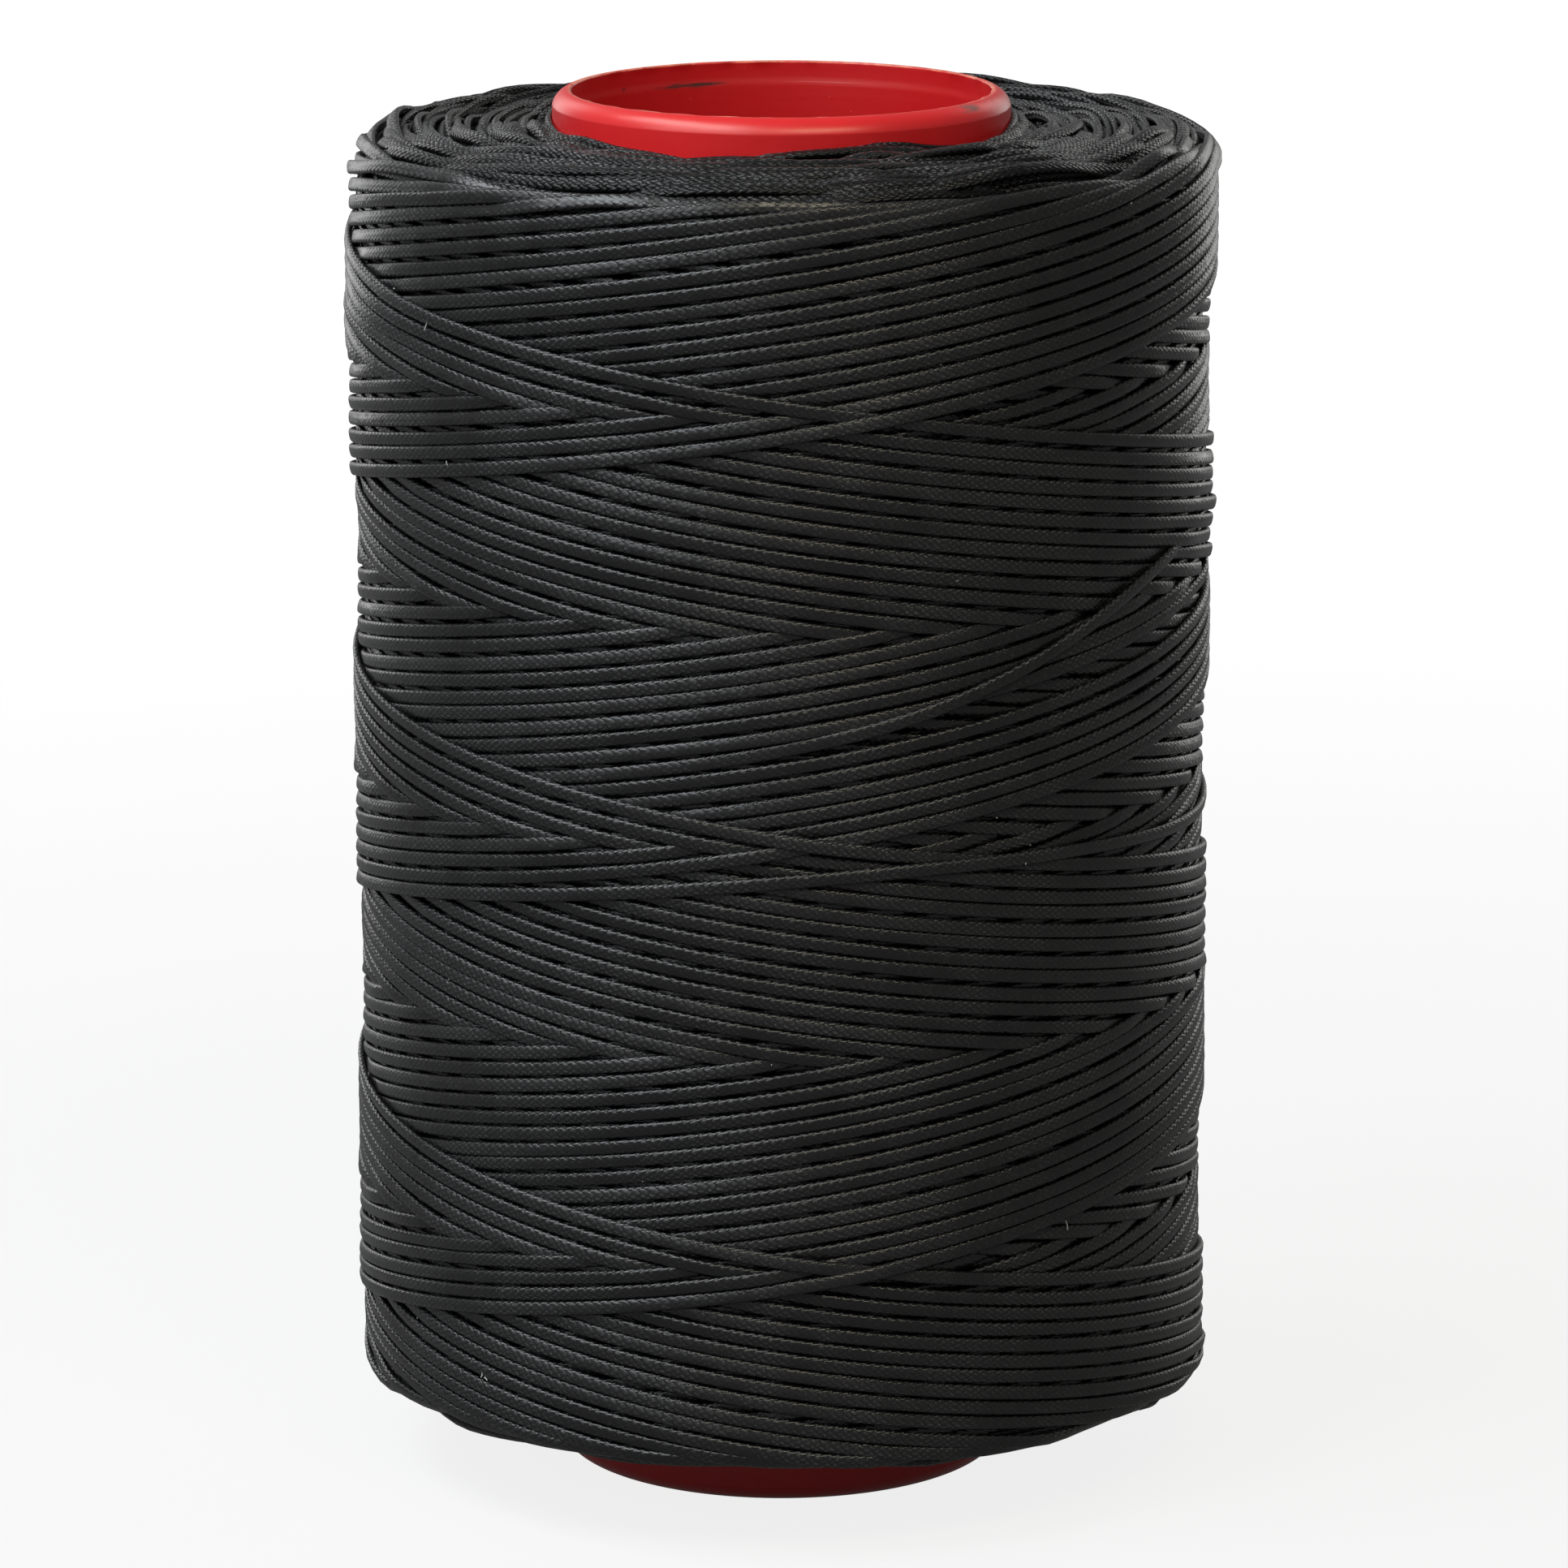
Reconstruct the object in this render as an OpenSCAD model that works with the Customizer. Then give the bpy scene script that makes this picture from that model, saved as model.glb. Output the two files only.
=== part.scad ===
// Spool of flat waxed thread, cross-wound on a straight plastic winding tube.
//
// Frame: +Z runs up the tube's axis, the origin is the middle of the lower rim,
// and the spool stands on that rim. All lengths are in millimetres.
//
// Pieces: the winding tube, and one length of thread. The thread's buried layers
// are the plain core. Its last layer is one unbroken flat strand that the guide
// lays up and down the package, always turning the same way round, so that the
// rising turns cross under the falling ones.

/* [Winding tube] */
// Diameter of the bore that slides over a spindle
tube_bore_d = 40.6; // [34:0.1:60]
// Wall thickness of the tube
tube_wall = 1.95; // [1.4:0.05:3]
// Length of the tube over both rims
tube_len = 136.3; // [110:0.1:220]
// Width of the flat land left at the inner edge of each rim
rim_land = 0.38; // [0.2:0.02:0.6]
// Height of the crowned bevel round the outside of each rim
rim_bevel_h = 1.5; // [0.6:0.1:3]
// How far the bevel bulges out from a straight cone
rim_crown = 0.28; // [0.1:0.02:0.4]
// Depth of the relieved mouth inside each rim
mouth_depth = 2; // [0.5:0.1:6]
// Radial relief of that mouth
mouth_relief = 0.12; // [0.05:0.01:0.3]

/* [Wound package] */
// Diameter over the outer turns
wound_d = 84; // [64:0.5:120]
// Bare tube between the lower rim and the winding
bottom_step = 8.5; // [3:0.1:20]
// Bare tube between the winding and the upper rim
top_step = 2.9; // [2:0.1:20]
// Radius of the upper shoulder of the buried layers
top_round = 4; // [1.5:0.1:8]
// Radius of the lower edge of the buried layers
bottom_round = 1.5; // [0.5:0.1:4]

/* [Thread] */
// Width of the flat thread
thread_w = 1.3; // [0.8:0.05:2]
// Thickness of the flat thread
thread_t = 0.6; // [0.3:0.05:0.8]
// Share of the thread's width that is flat, the rest being its rounded edges
thread_flat = 0.62; // [0.4:0.02:0.8]

/* [Cross winding] */
// Runs of the guide up the package and back down again
double_stroke_count = 4; // [2:1:4]
// Whole turns nearest to one run of the guide
stroke_turns = 3; // [2:1:3]
// Turn over which the guide slows down, and again speeds up, at each end, in degrees
reverse_deg = 30; // [15:15:45]
// How far the upper reversals lap over the shoulder, in degrees
lap_deg = 35; // [10:5:50]

/* [Clearances] */
// Gap between the rising turns and the falling turns that cross over them
layer_gap = 0.5; // [0.45:0.05:1]
// Gap under the outer turns, and round the ends where they go in
seat_gap = 0.3; // [0.2:0.05:0.6]
// Radial gap between the tube and the thread wound on it
tube_fit = 0.1; // [0.05:0.05:0.3]

/* [Hidden] */

RINGS = 24;
STEP = 360 / RINGS;
FN = 96;
ARC = 48;

// Winding tube
bore_r = tube_bore_d / 2;
tube_r = bore_r + tube_wall;
bevel_w = tube_wall - mouth_relief - rim_land;
bevel_chord = norm([bevel_w, rim_bevel_h]);
bevel_r = (pow(bevel_chord / 2, 2) + pow(rim_crown, 2)) / (2 * rim_crown);

// Layers, from the outside in. A strand between two stations runs along the
// chord, so the core is drawn in by the depth of that chord.
fall_r = wound_d / 2 - thread_t / 2;
rise_r = fall_r - thread_t - layer_gap;
core_r = (rise_r - thread_t / 2) * cos(STEP / 2) - seat_gap;
core_top = tube_len - top_step;
rise_off = rise_r - core_r;
fall_off = fall_r - core_r;

// Guide stroke, measured along the core's wall and over its upper shoulder
stroke_low = bottom_step + thread_w / 2;
shoulder_z = core_top - top_round;
wall_run = shoulder_z - stroke_low;
lap_r = top_round + (rise_off + fall_off) / 2;
stroke_len = wall_run + lap_r * lap_deg * PI / 180;

// Each run falls short of whole turns, so the double strokes share out the circle
run_deg = 360 * (stroke_turns - 1 / (2 * double_stroke_count));
path_deg = 2 * double_stroke_count * run_deg;
stations = round((path_deg - 2 * reverse_deg) / STEP);

// Ends: the strand bends in and runs straight down for one thread width
bend_r = 1.4 * thread_t;
end_run = thread_w;

// Distance covered by the guide, in degrees of turn, x degrees into a run
function run_at(x) =
    x < reverse_deg ? x * x / (2 * reverse_deg) :
    x > run_deg - reverse_deg ?
        run_deg - reverse_deg - pow(run_deg - x, 2) / (2 * reverse_deg) :
    x - reverse_deg / 2;

function ease(t) = t * t * (3 - 2 * t);

// How far through a reversal the strand is: 0 in the open run, 0.5 at the turning point
function turning(x) = ease(max(0, 1 - min(x, run_deg - x) / reverse_deg)) / 2;

// Guide position along the stroke, in millimetres from its lower end
function stroke_at(a) =
    let (k = floor(a / run_deg), h = run_at(a - k * run_deg))
    stroke_len * (k % 2 == 0 ? h : run_deg - reverse_deg - h) / (run_deg - reverse_deg);

// Height of the strand's middle above the core
function offset_at(a) =
    let (k = floor(a / run_deg), m = turning(a - k * run_deg))
    rise_off + (fall_off - rise_off) * (k % 2 == 0 ? m : 1 - m);

// Outward direction of the core's surface as [radial, axial]
function out_at(s) =
    let (lap = max(0, s - wall_run) / lap_r * 180 / PI)
    [cos(lap), sin(lap)];

function place_at(a) =
    let (s = stroke_at(a), o = out_at(s), d = offset_at(a),
         r = s < wall_run ? core_r + d : core_r - top_round + (top_round + d) * o[0],
         z = s < wall_run ? stroke_low + s : shoulder_z + (top_round + d) * o[1])
    [r * cos(a), r * sin(a), z];

function unit(v) = v / norm(v);

// A station is [middle, across, outward, along]
function station_at(a) =
    let (o = out_at(stroke_at(a)),
         along = unit(place_at(a + 1) - place_at(a - 1)),
         across = unit(cross(along, [o[0] * cos(a), o[0] * sin(a), o[1]])))
    [place_at(a), across, cross(across, along), along];

// A station bent in by an angle, on the way out of the path in the direction side
function bent(s, side, turn, run) =
    let (t = side * s[3])
    [s[0] + bend_r * sin(turn) * t - (bend_r * (1 - cos(turn)) + run) * s[2],
     s[1], s[2] * cos(turn) + t * sin(turn), s[3]];

first_station = station_at(reverse_deg);
last_station = station_at(reverse_deg + stations * STEP);
last_drop = end_run + fall_off - rise_off;

path = concat(
    [bent(first_station, -1, 90, end_run), bent(first_station, -1, 90, 0)],
    [for (turn = [60, 30]) bent(first_station, -1, turn, 0)],
    [for (i = [0 : stations]) station_at(reverse_deg + i * STEP)],
    [for (turn = [30, 60]) bent(last_station, 1, turn, 0)],
    [bent(last_station, 1, 90, 0), bent(last_station, 1, 90, last_drop)]);

// Cross-section of the strand as [across, outward]
section = [
    [thread_w / 2, 0],
    [thread_w * thread_flat / 2, thread_t / 2],
    [-thread_w * thread_flat / 2, thread_t / 2],
    [-thread_w / 2, 0],
    [-thread_w * thread_flat / 2, -thread_t / 2],
    [thread_w * thread_flat / 2, -thread_t / 2]];
sides = len(section);

function ring(s) = [for (p = section) s[0] + p[0] * s[1] + p[1] * s[2]];

// Least distance from the strand to itself, over points on its edges, for
// stations that are more than half a turn apart along it
function gap_between(p, q) = min([for (u = ring(p)) min([for (v = ring(q)) norm(u - v)])]);
near = 2 * thread_w + layer_gap;
gaps = [for (i = [0 : len(path) - 1])
        for (j = [i + RINGS / 2 : 1 : len(path) - 1])
            if (norm(path[i][0] - path[j][0]) < near) gap_between(path[i], path[j])];
echo(loops = (stations * STEP) / 360, rings = len(path), triangles = 2 * sides * len(path));
echo(lead_mm = 360 * stroke_len / (run_deg - reverse_deg), core_d = 2 * core_r);
echo(least_gap_mm = min(gaps), pairs_measured = len(gaps));

module rim_corner() {
    // What the crowned bevel takes off an upper outer corner at the origin
    difference() {
        translate([-bevel_w, -rim_bevel_h]) square([bevel_w + 1, rim_bevel_h + 1]);
        polygon([[-bevel_w, 0], [0, -rim_bevel_h], [-bevel_w, -rim_bevel_h]]);
        translate([-bevel_w / 2, -rim_bevel_h / 2]
                  - (bevel_r - rim_crown) * [rim_bevel_h, bevel_w] / bevel_chord)
            circle(r = bevel_r, $fn = ARC);
    }
}

module tube_profile() {
    difference() {
        translate([bore_r, 0]) square([tube_wall, tube_len]);
        translate([bore_r - 1, -1]) square([mouth_relief + 1, mouth_depth + 1]);
        translate([bore_r - 1, tube_len - mouth_depth])
            square([mouth_relief + 1, mouth_depth + 1]);
        translate([tube_r, tube_len]) rim_corner();
        translate([tube_r, 0]) mirror([0, 1]) rim_corner();
    }
}

module winding_tube() {
    color([0.75, 0.11, 0.13]) rotate_extrude($fn = FN) tube_profile();
}

module core_profile() {
    inner = tube_r + tube_fit;
    difference() {
        translate([inner, bottom_step]) square([core_r - inner, core_top - bottom_step]);
        translate([core_r - top_round, core_top - top_round]) difference() {
            square(top_round + 1);
            circle(r = top_round, $fn = ARC);
        }
        translate([core_r - bottom_round, bottom_step + bottom_round]) mirror([0, 1])
            difference() {
                square(bottom_round + 1);
                circle(r = bottom_round, $fn = ARC);
            }
    }
}

module end_pocket(s, side, drop) {
    // Slot in the buried layers that an end of the outer strand goes down into
    deep = bend_r + drop + seat_gap;
    at = s[0] + side * bend_r * s[3] - deep * s[2];
    slot_w = thread_w + 2 * seat_gap;
    slot_t = thread_t + 2 * seat_gap;
    multmatrix([
        [s[1][0], s[3][0], s[2][0], at[0]],
        [s[1][1], s[3][1], s[2][1], at[1]],
        [s[1][2], s[3][2], s[2][2], at[2]],
        [0, 0, 0, 1]])
        translate([-slot_w / 2, -slot_t / 2, 0]) cube([slot_w, slot_t, deep + thread_w]);
}

module thread_core() {
    color([0.12, 0.12, 0.13]) difference() {
        rotate_extrude($fn = FN) core_profile();
        end_pocket(first_station, -1, end_run);
        end_pocket(last_station, 1, last_drop);
    }
}

module thread_outer_turns() {
    count = len(path);
    points = [for (s = path) each ring(s)];
    sides_faces = [for (i = [0 : count - 2]) for (k = [0 : sides - 1])
        let (a = i * sides + k, b = i * sides + (k + 1) % sides)
        each [[a, b, a + sides], [b, b + sides, a + sides]]];
    start_cap = [for (k = [1 : sides - 2]) [0, k + 1, k]];
    last = (count - 1) * sides;
    end_cap = [for (k = [1 : sides - 2]) [last, last + k, last + k + 1]];
    color([0.22, 0.22, 0.24])
        polyhedron(points, concat(sides_faces, start_cap, end_cap), convexity = 20);
}

winding_tube();
thread_core();
thread_outer_turns();
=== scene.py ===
"""Dresses the spool of waxed thread: a red winding tube and the thread cross-wound on it.

The wound package is laid turn by turn, in the order in which a winder lays it: the
guide runs up and down while the tube turns one way, and each strand rests on what is
already there. Lengths inside the classes are millimetres; meshes are made in metres.
"""

import logging
import math
from dataclasses import dataclass, replace
from enum import Enum
from typing import Any, Callable, Sequence

import bpy
import numpy as np
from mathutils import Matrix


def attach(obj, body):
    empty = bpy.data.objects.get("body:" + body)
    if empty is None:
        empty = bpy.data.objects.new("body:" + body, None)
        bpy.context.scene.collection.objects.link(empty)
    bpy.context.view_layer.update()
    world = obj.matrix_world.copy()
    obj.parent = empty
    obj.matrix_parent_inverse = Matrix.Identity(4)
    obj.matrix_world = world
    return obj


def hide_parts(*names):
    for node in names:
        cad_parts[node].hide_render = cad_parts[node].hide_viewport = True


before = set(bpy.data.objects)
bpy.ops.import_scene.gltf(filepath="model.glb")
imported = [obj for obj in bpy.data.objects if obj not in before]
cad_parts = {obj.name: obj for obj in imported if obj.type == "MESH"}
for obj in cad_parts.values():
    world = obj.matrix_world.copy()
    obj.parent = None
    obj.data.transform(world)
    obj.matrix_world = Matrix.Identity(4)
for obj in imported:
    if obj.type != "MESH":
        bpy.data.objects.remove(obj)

LOG = logging.getLogger("thread_spool")
MM = 0.001
Row = np.ndarray
Socket = bpy.types.NodeSocket
Colour = tuple[float, float, float]
WHITE = (1.0, 1.0, 1.0, 1.0)


class Slot(Enum):
    """Material slots of the record; nothing in the script uses them."""

    TUBE = "tube_plastic"
    BURIED = "waxed_thread_buried"
    OUTER = "waxed_thread_outer"


class Node(Enum):
    """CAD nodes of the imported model."""

    TUBE = "winding_tube"
    CORE = "thread_core"
    TURNS = "thread_outer_turns"


class Face(Enum):
    """The two end faces of the wound package."""

    UPPER = 1
    LOWER = -1


def srgb(red: float, green: float, blue: float) -> Colour:
    """Turns a colour in 0 to 255 screen values into the linear values that shaders use.

    Args:
        red: Red, 0 to 255.
        green: Green, 0 to 255.
        blue: Blue, 0 to 255.

    Returns:
        The linear colour.
    """

    def linear(value: float) -> float:
        """Undoes the screen curve for one channel."""
        part = value / 255.0
        return part / 12.92 if part <= 0.04045 else ((part + 0.055) / 1.055) ** 2.4

    return (linear(red), linear(green), linear(blue))


def unit(vectors: Row) -> Row:
    """Scales each row of an array of vectors to length one."""
    return vectors / np.maximum(np.linalg.norm(vectors, axis=-1, keepdims=True), 1e-12)


def ease(share: Row) -> Row:
    """A smooth step from 0 to 1, flat at both ends."""
    part = np.clip(share, 0.0, 1.0)
    return part * part * (3.0 - 2.0 * part)


def closed(values: Row, reach: int) -> Row:
    """Bridges the dips of a row that are narrower than a span.

    Args:
        values: Heights along a strand.
        reach: Half of the span, in samples.

    Returns:
        The row with its narrow dips filled level.
    """
    width = 2 * reach + 1
    padded = np.pad(values, 2 * reach, mode="edge")
    highest = np.lib.stride_tricks.sliding_window_view(padded, width).max(-1)
    return np.lib.stride_tricks.sliding_window_view(highest, width).min(-1)


def smoothed(values: Row, reach: int) -> Row:
    """Averages a row over a bell-shaped window.

    Args:
        values: Heights along a strand.
        reach: Half of the window, in samples.

    Returns:
        The averaged row, as long as the one given.
    """
    window = np.hanning(2 * reach + 3)[1:-1]
    padded = np.pad(values, reach, mode="edge")
    return np.convolve(padded, window / window.sum(), mode="valid")


# ---------------------------------------------------------------- node trees


class NodeSheet:
    """Adds nodes to one tree and wires them."""

    def __init__(self, tree: bpy.types.NodeTree) -> None:
        """Empties the tree.

        Args:
            tree: The shader or geometry tree to fill.
        """
        self.tree = tree
        tree.nodes.clear()

    def add(self, kind: str, **settings: Any) -> bpy.types.Node:
        """Adds a node.

        Args:
            kind: Type name of the node.
            **settings: Properties to set on it.

        Returns:
            The new node.
        """
        node = self.tree.nodes.new(kind)
        for name, value in settings.items():
            setattr(node, name, value)
        return node

    def feed(self, socket: Socket, source: Any) -> None:
        """Links a socket to another one, or sets its plain value."""
        if isinstance(source, Socket):
            self.tree.links.new(source, socket)
        elif source is not None:
            socket.default_value = source

    def fill(self, node: bpy.types.Node, inputs: dict[Any, Any]) -> None:
        """Feeds several inputs of a node, given by their names or numbers."""
        for name, source in inputs.items():
            self.feed(node.inputs[name], source)

    def put(self, kind: str, inputs: dict[Any, Any], **settings: Any) -> Socket:
        """Adds a node and feeds its inputs.

        Args:
            kind: Type name of the node.
            inputs: Sockets or plain values, by the names or numbers of the inputs.
            **settings: Properties to set on it.

        Returns:
            The socket of its first output.
        """
        node = self.add(kind, **settings)
        self.fill(node, inputs)
        return node.outputs[0]

    def math(self, operation: str, *sources: Any, clamp: bool = False) -> Socket:
        """Adds a Math node.

        Args:
            operation: Name of the operation.
            *sources: Sockets or numbers for its inputs.
            clamp: Whether the result is held between 0 and 1.

        Returns:
            The result's socket.
        """
        return self.put("ShaderNodeMath", dict(enumerate(sources)), operation=operation, use_clamp=clamp)

    def between(self, value: Any, low: float, high: float, out_low: float, out_high: float) -> Socket:
        """Maps a value from one range to another, smoothly and held at the ends.

        Args:
            value: The socket to map.
            low: Start of its range.
            high: End of its range.
            out_low: Result at the start.
            out_high: Result at the end.

        Returns:
            The result's socket.
        """
        inputs = dict(enumerate((value, low, high, out_low, out_high)))
        return self.put("ShaderNodeMapRange", inputs, interpolation_type="SMOOTHSTEP")

    def noise(self, vector: Any, scale: float, detail: float = 2.0, rough: float = 0.5) -> Socket:
        """Adds a Noise node and returns its value's socket."""
        inputs = {"Vector": vector, "Scale": scale, "Detail": detail, "Roughness": rough}
        return self.put("ShaderNodeTexNoise", inputs)

    def blend(self, share: Any, first: Any, second: Any) -> Socket:
        """Mixes two colours.

        Args:
            share: How much of the second colour, 0 to 1.
            first: The first colour, as a socket or a linear colour.
            second: The second colour, as a socket or a linear colour.

        Returns:
            The mixed colour's socket.
        """
        node = self.add("ShaderNodeMix", data_type="RGBA")
        self.feed(node.inputs[0], share)
        for socket, source in ((node.inputs[6], first), (node.inputs[7], second)):
            self.feed(socket, (*source, 1.0) if isinstance(source, tuple) else source)
        return node.outputs[2]

    def spot(self) -> Socket:
        """Adds the object's own coordinates and returns their socket."""
        return self.add("ShaderNodeTexCoord").outputs["Object"]

    def split(self, vector: Socket) -> tuple[Socket, ...]:
        """Takes a vector apart and returns the sockets of its three parts."""
        node = self.add("ShaderNodeSeparateXYZ")
        self.feed(node.inputs[0], vector)
        return tuple(node.outputs)

    def length(self, vector: Socket) -> Socket:
        """Measures a vector and returns the socket of its length."""
        node = self.add("ShaderNodeVectorMath", operation="LENGTH")
        self.feed(node.inputs[0], vector)
        return node.outputs["Value"]

    def scaled(self, vector: Socket, scale: tuple[float, float, float]) -> Socket:
        """Scales a vector along each axis and returns the result's socket."""
        return self.put("ShaderNodeMapping", {"Vector": vector, "Scale": scale})

    def bump(self, height: Socket, distance: float, strength: float = 1.0) -> Socket:
        """Turns heights into a bumped normal.

        Args:
            height: The heights, 0 to about 1.
            distance: What a height of 1 stands for, in millimetres.
            strength: How strongly the heights show.

        Returns:
            The normal's socket.
        """
        return self.put("ShaderNodeBump", {"Strength": strength, "Distance": distance * MM, "Height": height})

    def seen(self, reflected: float) -> Socket:
        """Builds the share of a white backdrop that a ray sees.

        Args:
            reflected: The share that shows in reflections; straight on it is 1.

        Returns:
            The share's socket.
        """
        path = self.add("ShaderNodeLightPath")
        share = self.math("MULTIPLY", path.outputs["Is Glossy Ray"], reflected)
        share = self.math("MAXIMUM", share, path.outputs["Is Camera Ray"])
        return self.math("MAXIMUM", share, path.outputs["Is Transmission Ray"])


def new_material(name: str) -> tuple[bpy.types.Material, NodeSheet, bpy.types.Node]:
    """Starts a material with an empty sheet, a Principled shader and an output.

    Args:
        name: The material's name.

    Returns:
        The material, its sheet and the Principled node.
    """
    material = bpy.data.materials.new(name)
    material.use_nodes = True
    sheet = NodeSheet(material.node_tree)
    shader = sheet.add("ShaderNodeBsdfPrincipled")
    output = sheet.add("ShaderNodeOutputMaterial")
    sheet.feed(output.inputs["Surface"], shader.outputs[0])
    return material, sheet, shader


# ---------------------------------------------------------------- finishes


@dataclass(frozen=True)
class WaxedBraid:
    """Black waxed polyester braid, seen yarn by yarn.

    Attributes:
        name: The material's name.
        deep: Colour in the grooves between the yarns, darker there as painted shade.
        crown: Colour on the crowns of the yarns.
        wear_and_glint: Colour of the streaks on the yarn crowns, in part where the wax has come off and in
            part a painted glint.
        repeat: Length of one yarn crossing along the thread, in millimetres.
        lanes: Yarns of each direction in the whole girth of the thread.
        relief: Height of the yarns, in millimetres.
        open_flat: How open the yarns are on the flat of the thread, 1 where no wax fills them.
        shine: Specular level.
        unshaded_edge: Edge that stands clear where strands lap like shingles and stays out of the painted
            shade, -1 or 1, or 0 for none.
        lapped: Colour of the painted shade on the side that other strands lap.
    """

    name: str = "waxed_black_braid"
    deep: Colour = srgb(13, 13, 14)
    crown: Colour = srgb(22, 22, 23)
    wear_and_glint: Colour = srgb(84, 85, 86)
    repeat: float = 0.95
    lanes: float = 6.0
    relief: float = 0.06
    open_flat: float = 0.25
    shine: float = 0.6
    unshaded_edge: float = 0.0
    lapped: Colour = srgb(7, 7, 8)

    def lap_shade(self, sheet: NodeSheet) -> Socket:
        """Builds the mask of the painted shade on the sides that other strands lap, away from the clear edge.
        """
        beside = sheet.split(sheet.add("ShaderNodeUVMap", uv_map="UVMap").outputs[0])[1]
        aside = sheet.math("SUBTRACT", beside, 0.42 * self.unshaded_edge)
        return sheet.between(sheet.math("ABSOLUTE", aside), 0.15, 0.42, 0.0, 0.94)

    def yarns(self, sheet: NodeSheet) -> tuple[Socket, Socket, Socket]:
        """Builds the braid: two sets of slanting yarns, over and under.

        Args:
            sheet: The material's sheet.

        Returns:
            Height of the yarns, 0 in the grooves to 1 on the crowns, a mask of the
            narrow streak along each crown, and how open the yarns are: the wax
            fills them on the flat of the thread and less so at its edges.
        """
        place = sheet.add("ShaderNodeUVMap", uv_map="UVMap").outputs[0]
        run, beside, _ = sheet.split(place)
        uneven = sheet.math("SUBTRACT", sheet.noise(place, 0.9, 2.0), 0.5)
        along = sheet.math("MULTIPLY_ADD", uneven, 0.9, sheet.math("DIVIDE", run, self.repeat))
        round_it = sheet.math("MULTIPLY", beside, self.lanes / 2.0)
        left = sheet.math("ADD", along, round_it)
        right = sheet.math("SUBTRACT", along, round_it)

        def hump(lane: Socket) -> Socket:
            """Round height over one lane."""
            middle = sheet.math("SUBTRACT", sheet.math("FRACT", lane), 0.5)
            squared = sheet.math("MULTIPLY", middle, middle)
            return sheet.math("SUBTRACT", 1.0, sheet.math("MULTIPLY", squared, 4.0))

        def yarn(width: Socket, length: Socket) -> Socket:
            """A yarn that is round across its width and dives a little at its ends."""
            return sheet.math("MULTIPLY", width, sheet.math("MULTIPLY_ADD", length, 0.4, 0.6))

        def streak(width: Socket, length: Socket) -> Socket:
            """The streak along a yarn's crown, where the wax wear and the painted glints show."""
            tapered = sheet.between(length, 0.25, 0.8, 0.0, 1.0)
            return sheet.math("MULTIPLY", sheet.between(width, 0.6, 0.98, 0.0, 1.0), tapered)

        lanes = sheet.math("ADD", sheet.math("FLOOR", left), sheet.math("FLOOR", right))
        over = sheet.math("COMPARE", sheet.math("FLOORED_MODULO", lanes, 2.0), 0.0, 0.5)
        under = sheet.math("SUBTRACT", 1.0, over)
        hump_left, hump_right = hump(left), hump(right)

        def topmost(part: Callable[[Socket, Socket], Socket]) -> Socket:
            """Builds a part of the yarns, for whichever direction lies on top."""
            other = sheet.math("MULTIPLY", part(hump_right, hump_left), under)
            return sheet.math("MULTIPLY_ADD", part(hump_left, hump_right), over, other)

        edge = sheet.math("ADD", sheet.math("ABSOLUTE", beside), sheet.math("MULTIPLY", uneven, 0.5))
        return topmost(yarn), topmost(streak), sheet.between(edge, 0.08, 0.3, self.open_flat, 1.0)

    def material(self) -> bpy.types.Material:
        """Makes the material.

        Returns:
            The finished material.
        """
        material, sheet, shader = new_material(self.name)
        height, streaks, opened = self.yarns(sheet)
        spot = sheet.spot()
        wax = sheet.noise(spot, 420.0, 3.0, 0.6)
        smear = sheet.noise(spot, 95.0, 2.0, 0.5)
        fuzz = sheet.noise(spot, 5200.0, 2.0, 0.7)
        spared = sheet.between(smear, 0.35, 0.6, 1.0, 0.35)
        waxed = sheet.math("MULTIPLY", sheet.between(wax, 0.36, 0.62, 0.0, 1.0), spared)
        # Darker in the grooves between the yarns: painted shade.
        crowned = sheet.blend(height, self.deep, self.crown)
        # Streaks on the yarn crowns: wear of the wax, and painted glints.
        handled = sheet.between(smear, 0.36, 0.64, 0.25, 0.9)
        bare_and_glint = sheet.math("MULTIPLY", handled, sheet.between(fuzz, 0.35, 0.65, 0.35, 1.0))
        rub_and_highlight = sheet.math("MULTIPLY", streaks, sheet.math("MULTIPLY_ADD", waxed, -0.3, bare_and_glint), clamp=True)
        rub_and_highlight = sheet.math("MULTIPLY", rub_and_highlight, sheet.math("MULTIPLY_ADD", opened, 0.7, 0.3))
        colour = sheet.blend(rub_and_highlight, crowned, self.wear_and_glint)
        # Painted shade on the side of each strand that other strands lap.
        if self.unshaded_edge:
            colour = sheet.blend(self.lap_shade(sheet), colour, self.lapped)
        rough = sheet.math("MULTIPLY_ADD", waxed, -0.06, sheet.math("MULTIPLY_ADD", fuzz, 0.14, 0.24))
        relief = sheet.math("MULTIPLY_ADD", fuzz, 0.1, height)
        pressed = sheet.math("MULTIPLY", relief, sheet.math("MULTIPLY_ADD", waxed, -0.5, 1.0))
        bumped = sheet.bump(sheet.math("MULTIPLY", pressed, opened), self.relief)
        looks = {"Base Color": colour, "Roughness": rough, "Specular IOR Level": self.shine, "Normal": bumped}
        sheet.fill(shader, looks)
        return material


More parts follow.
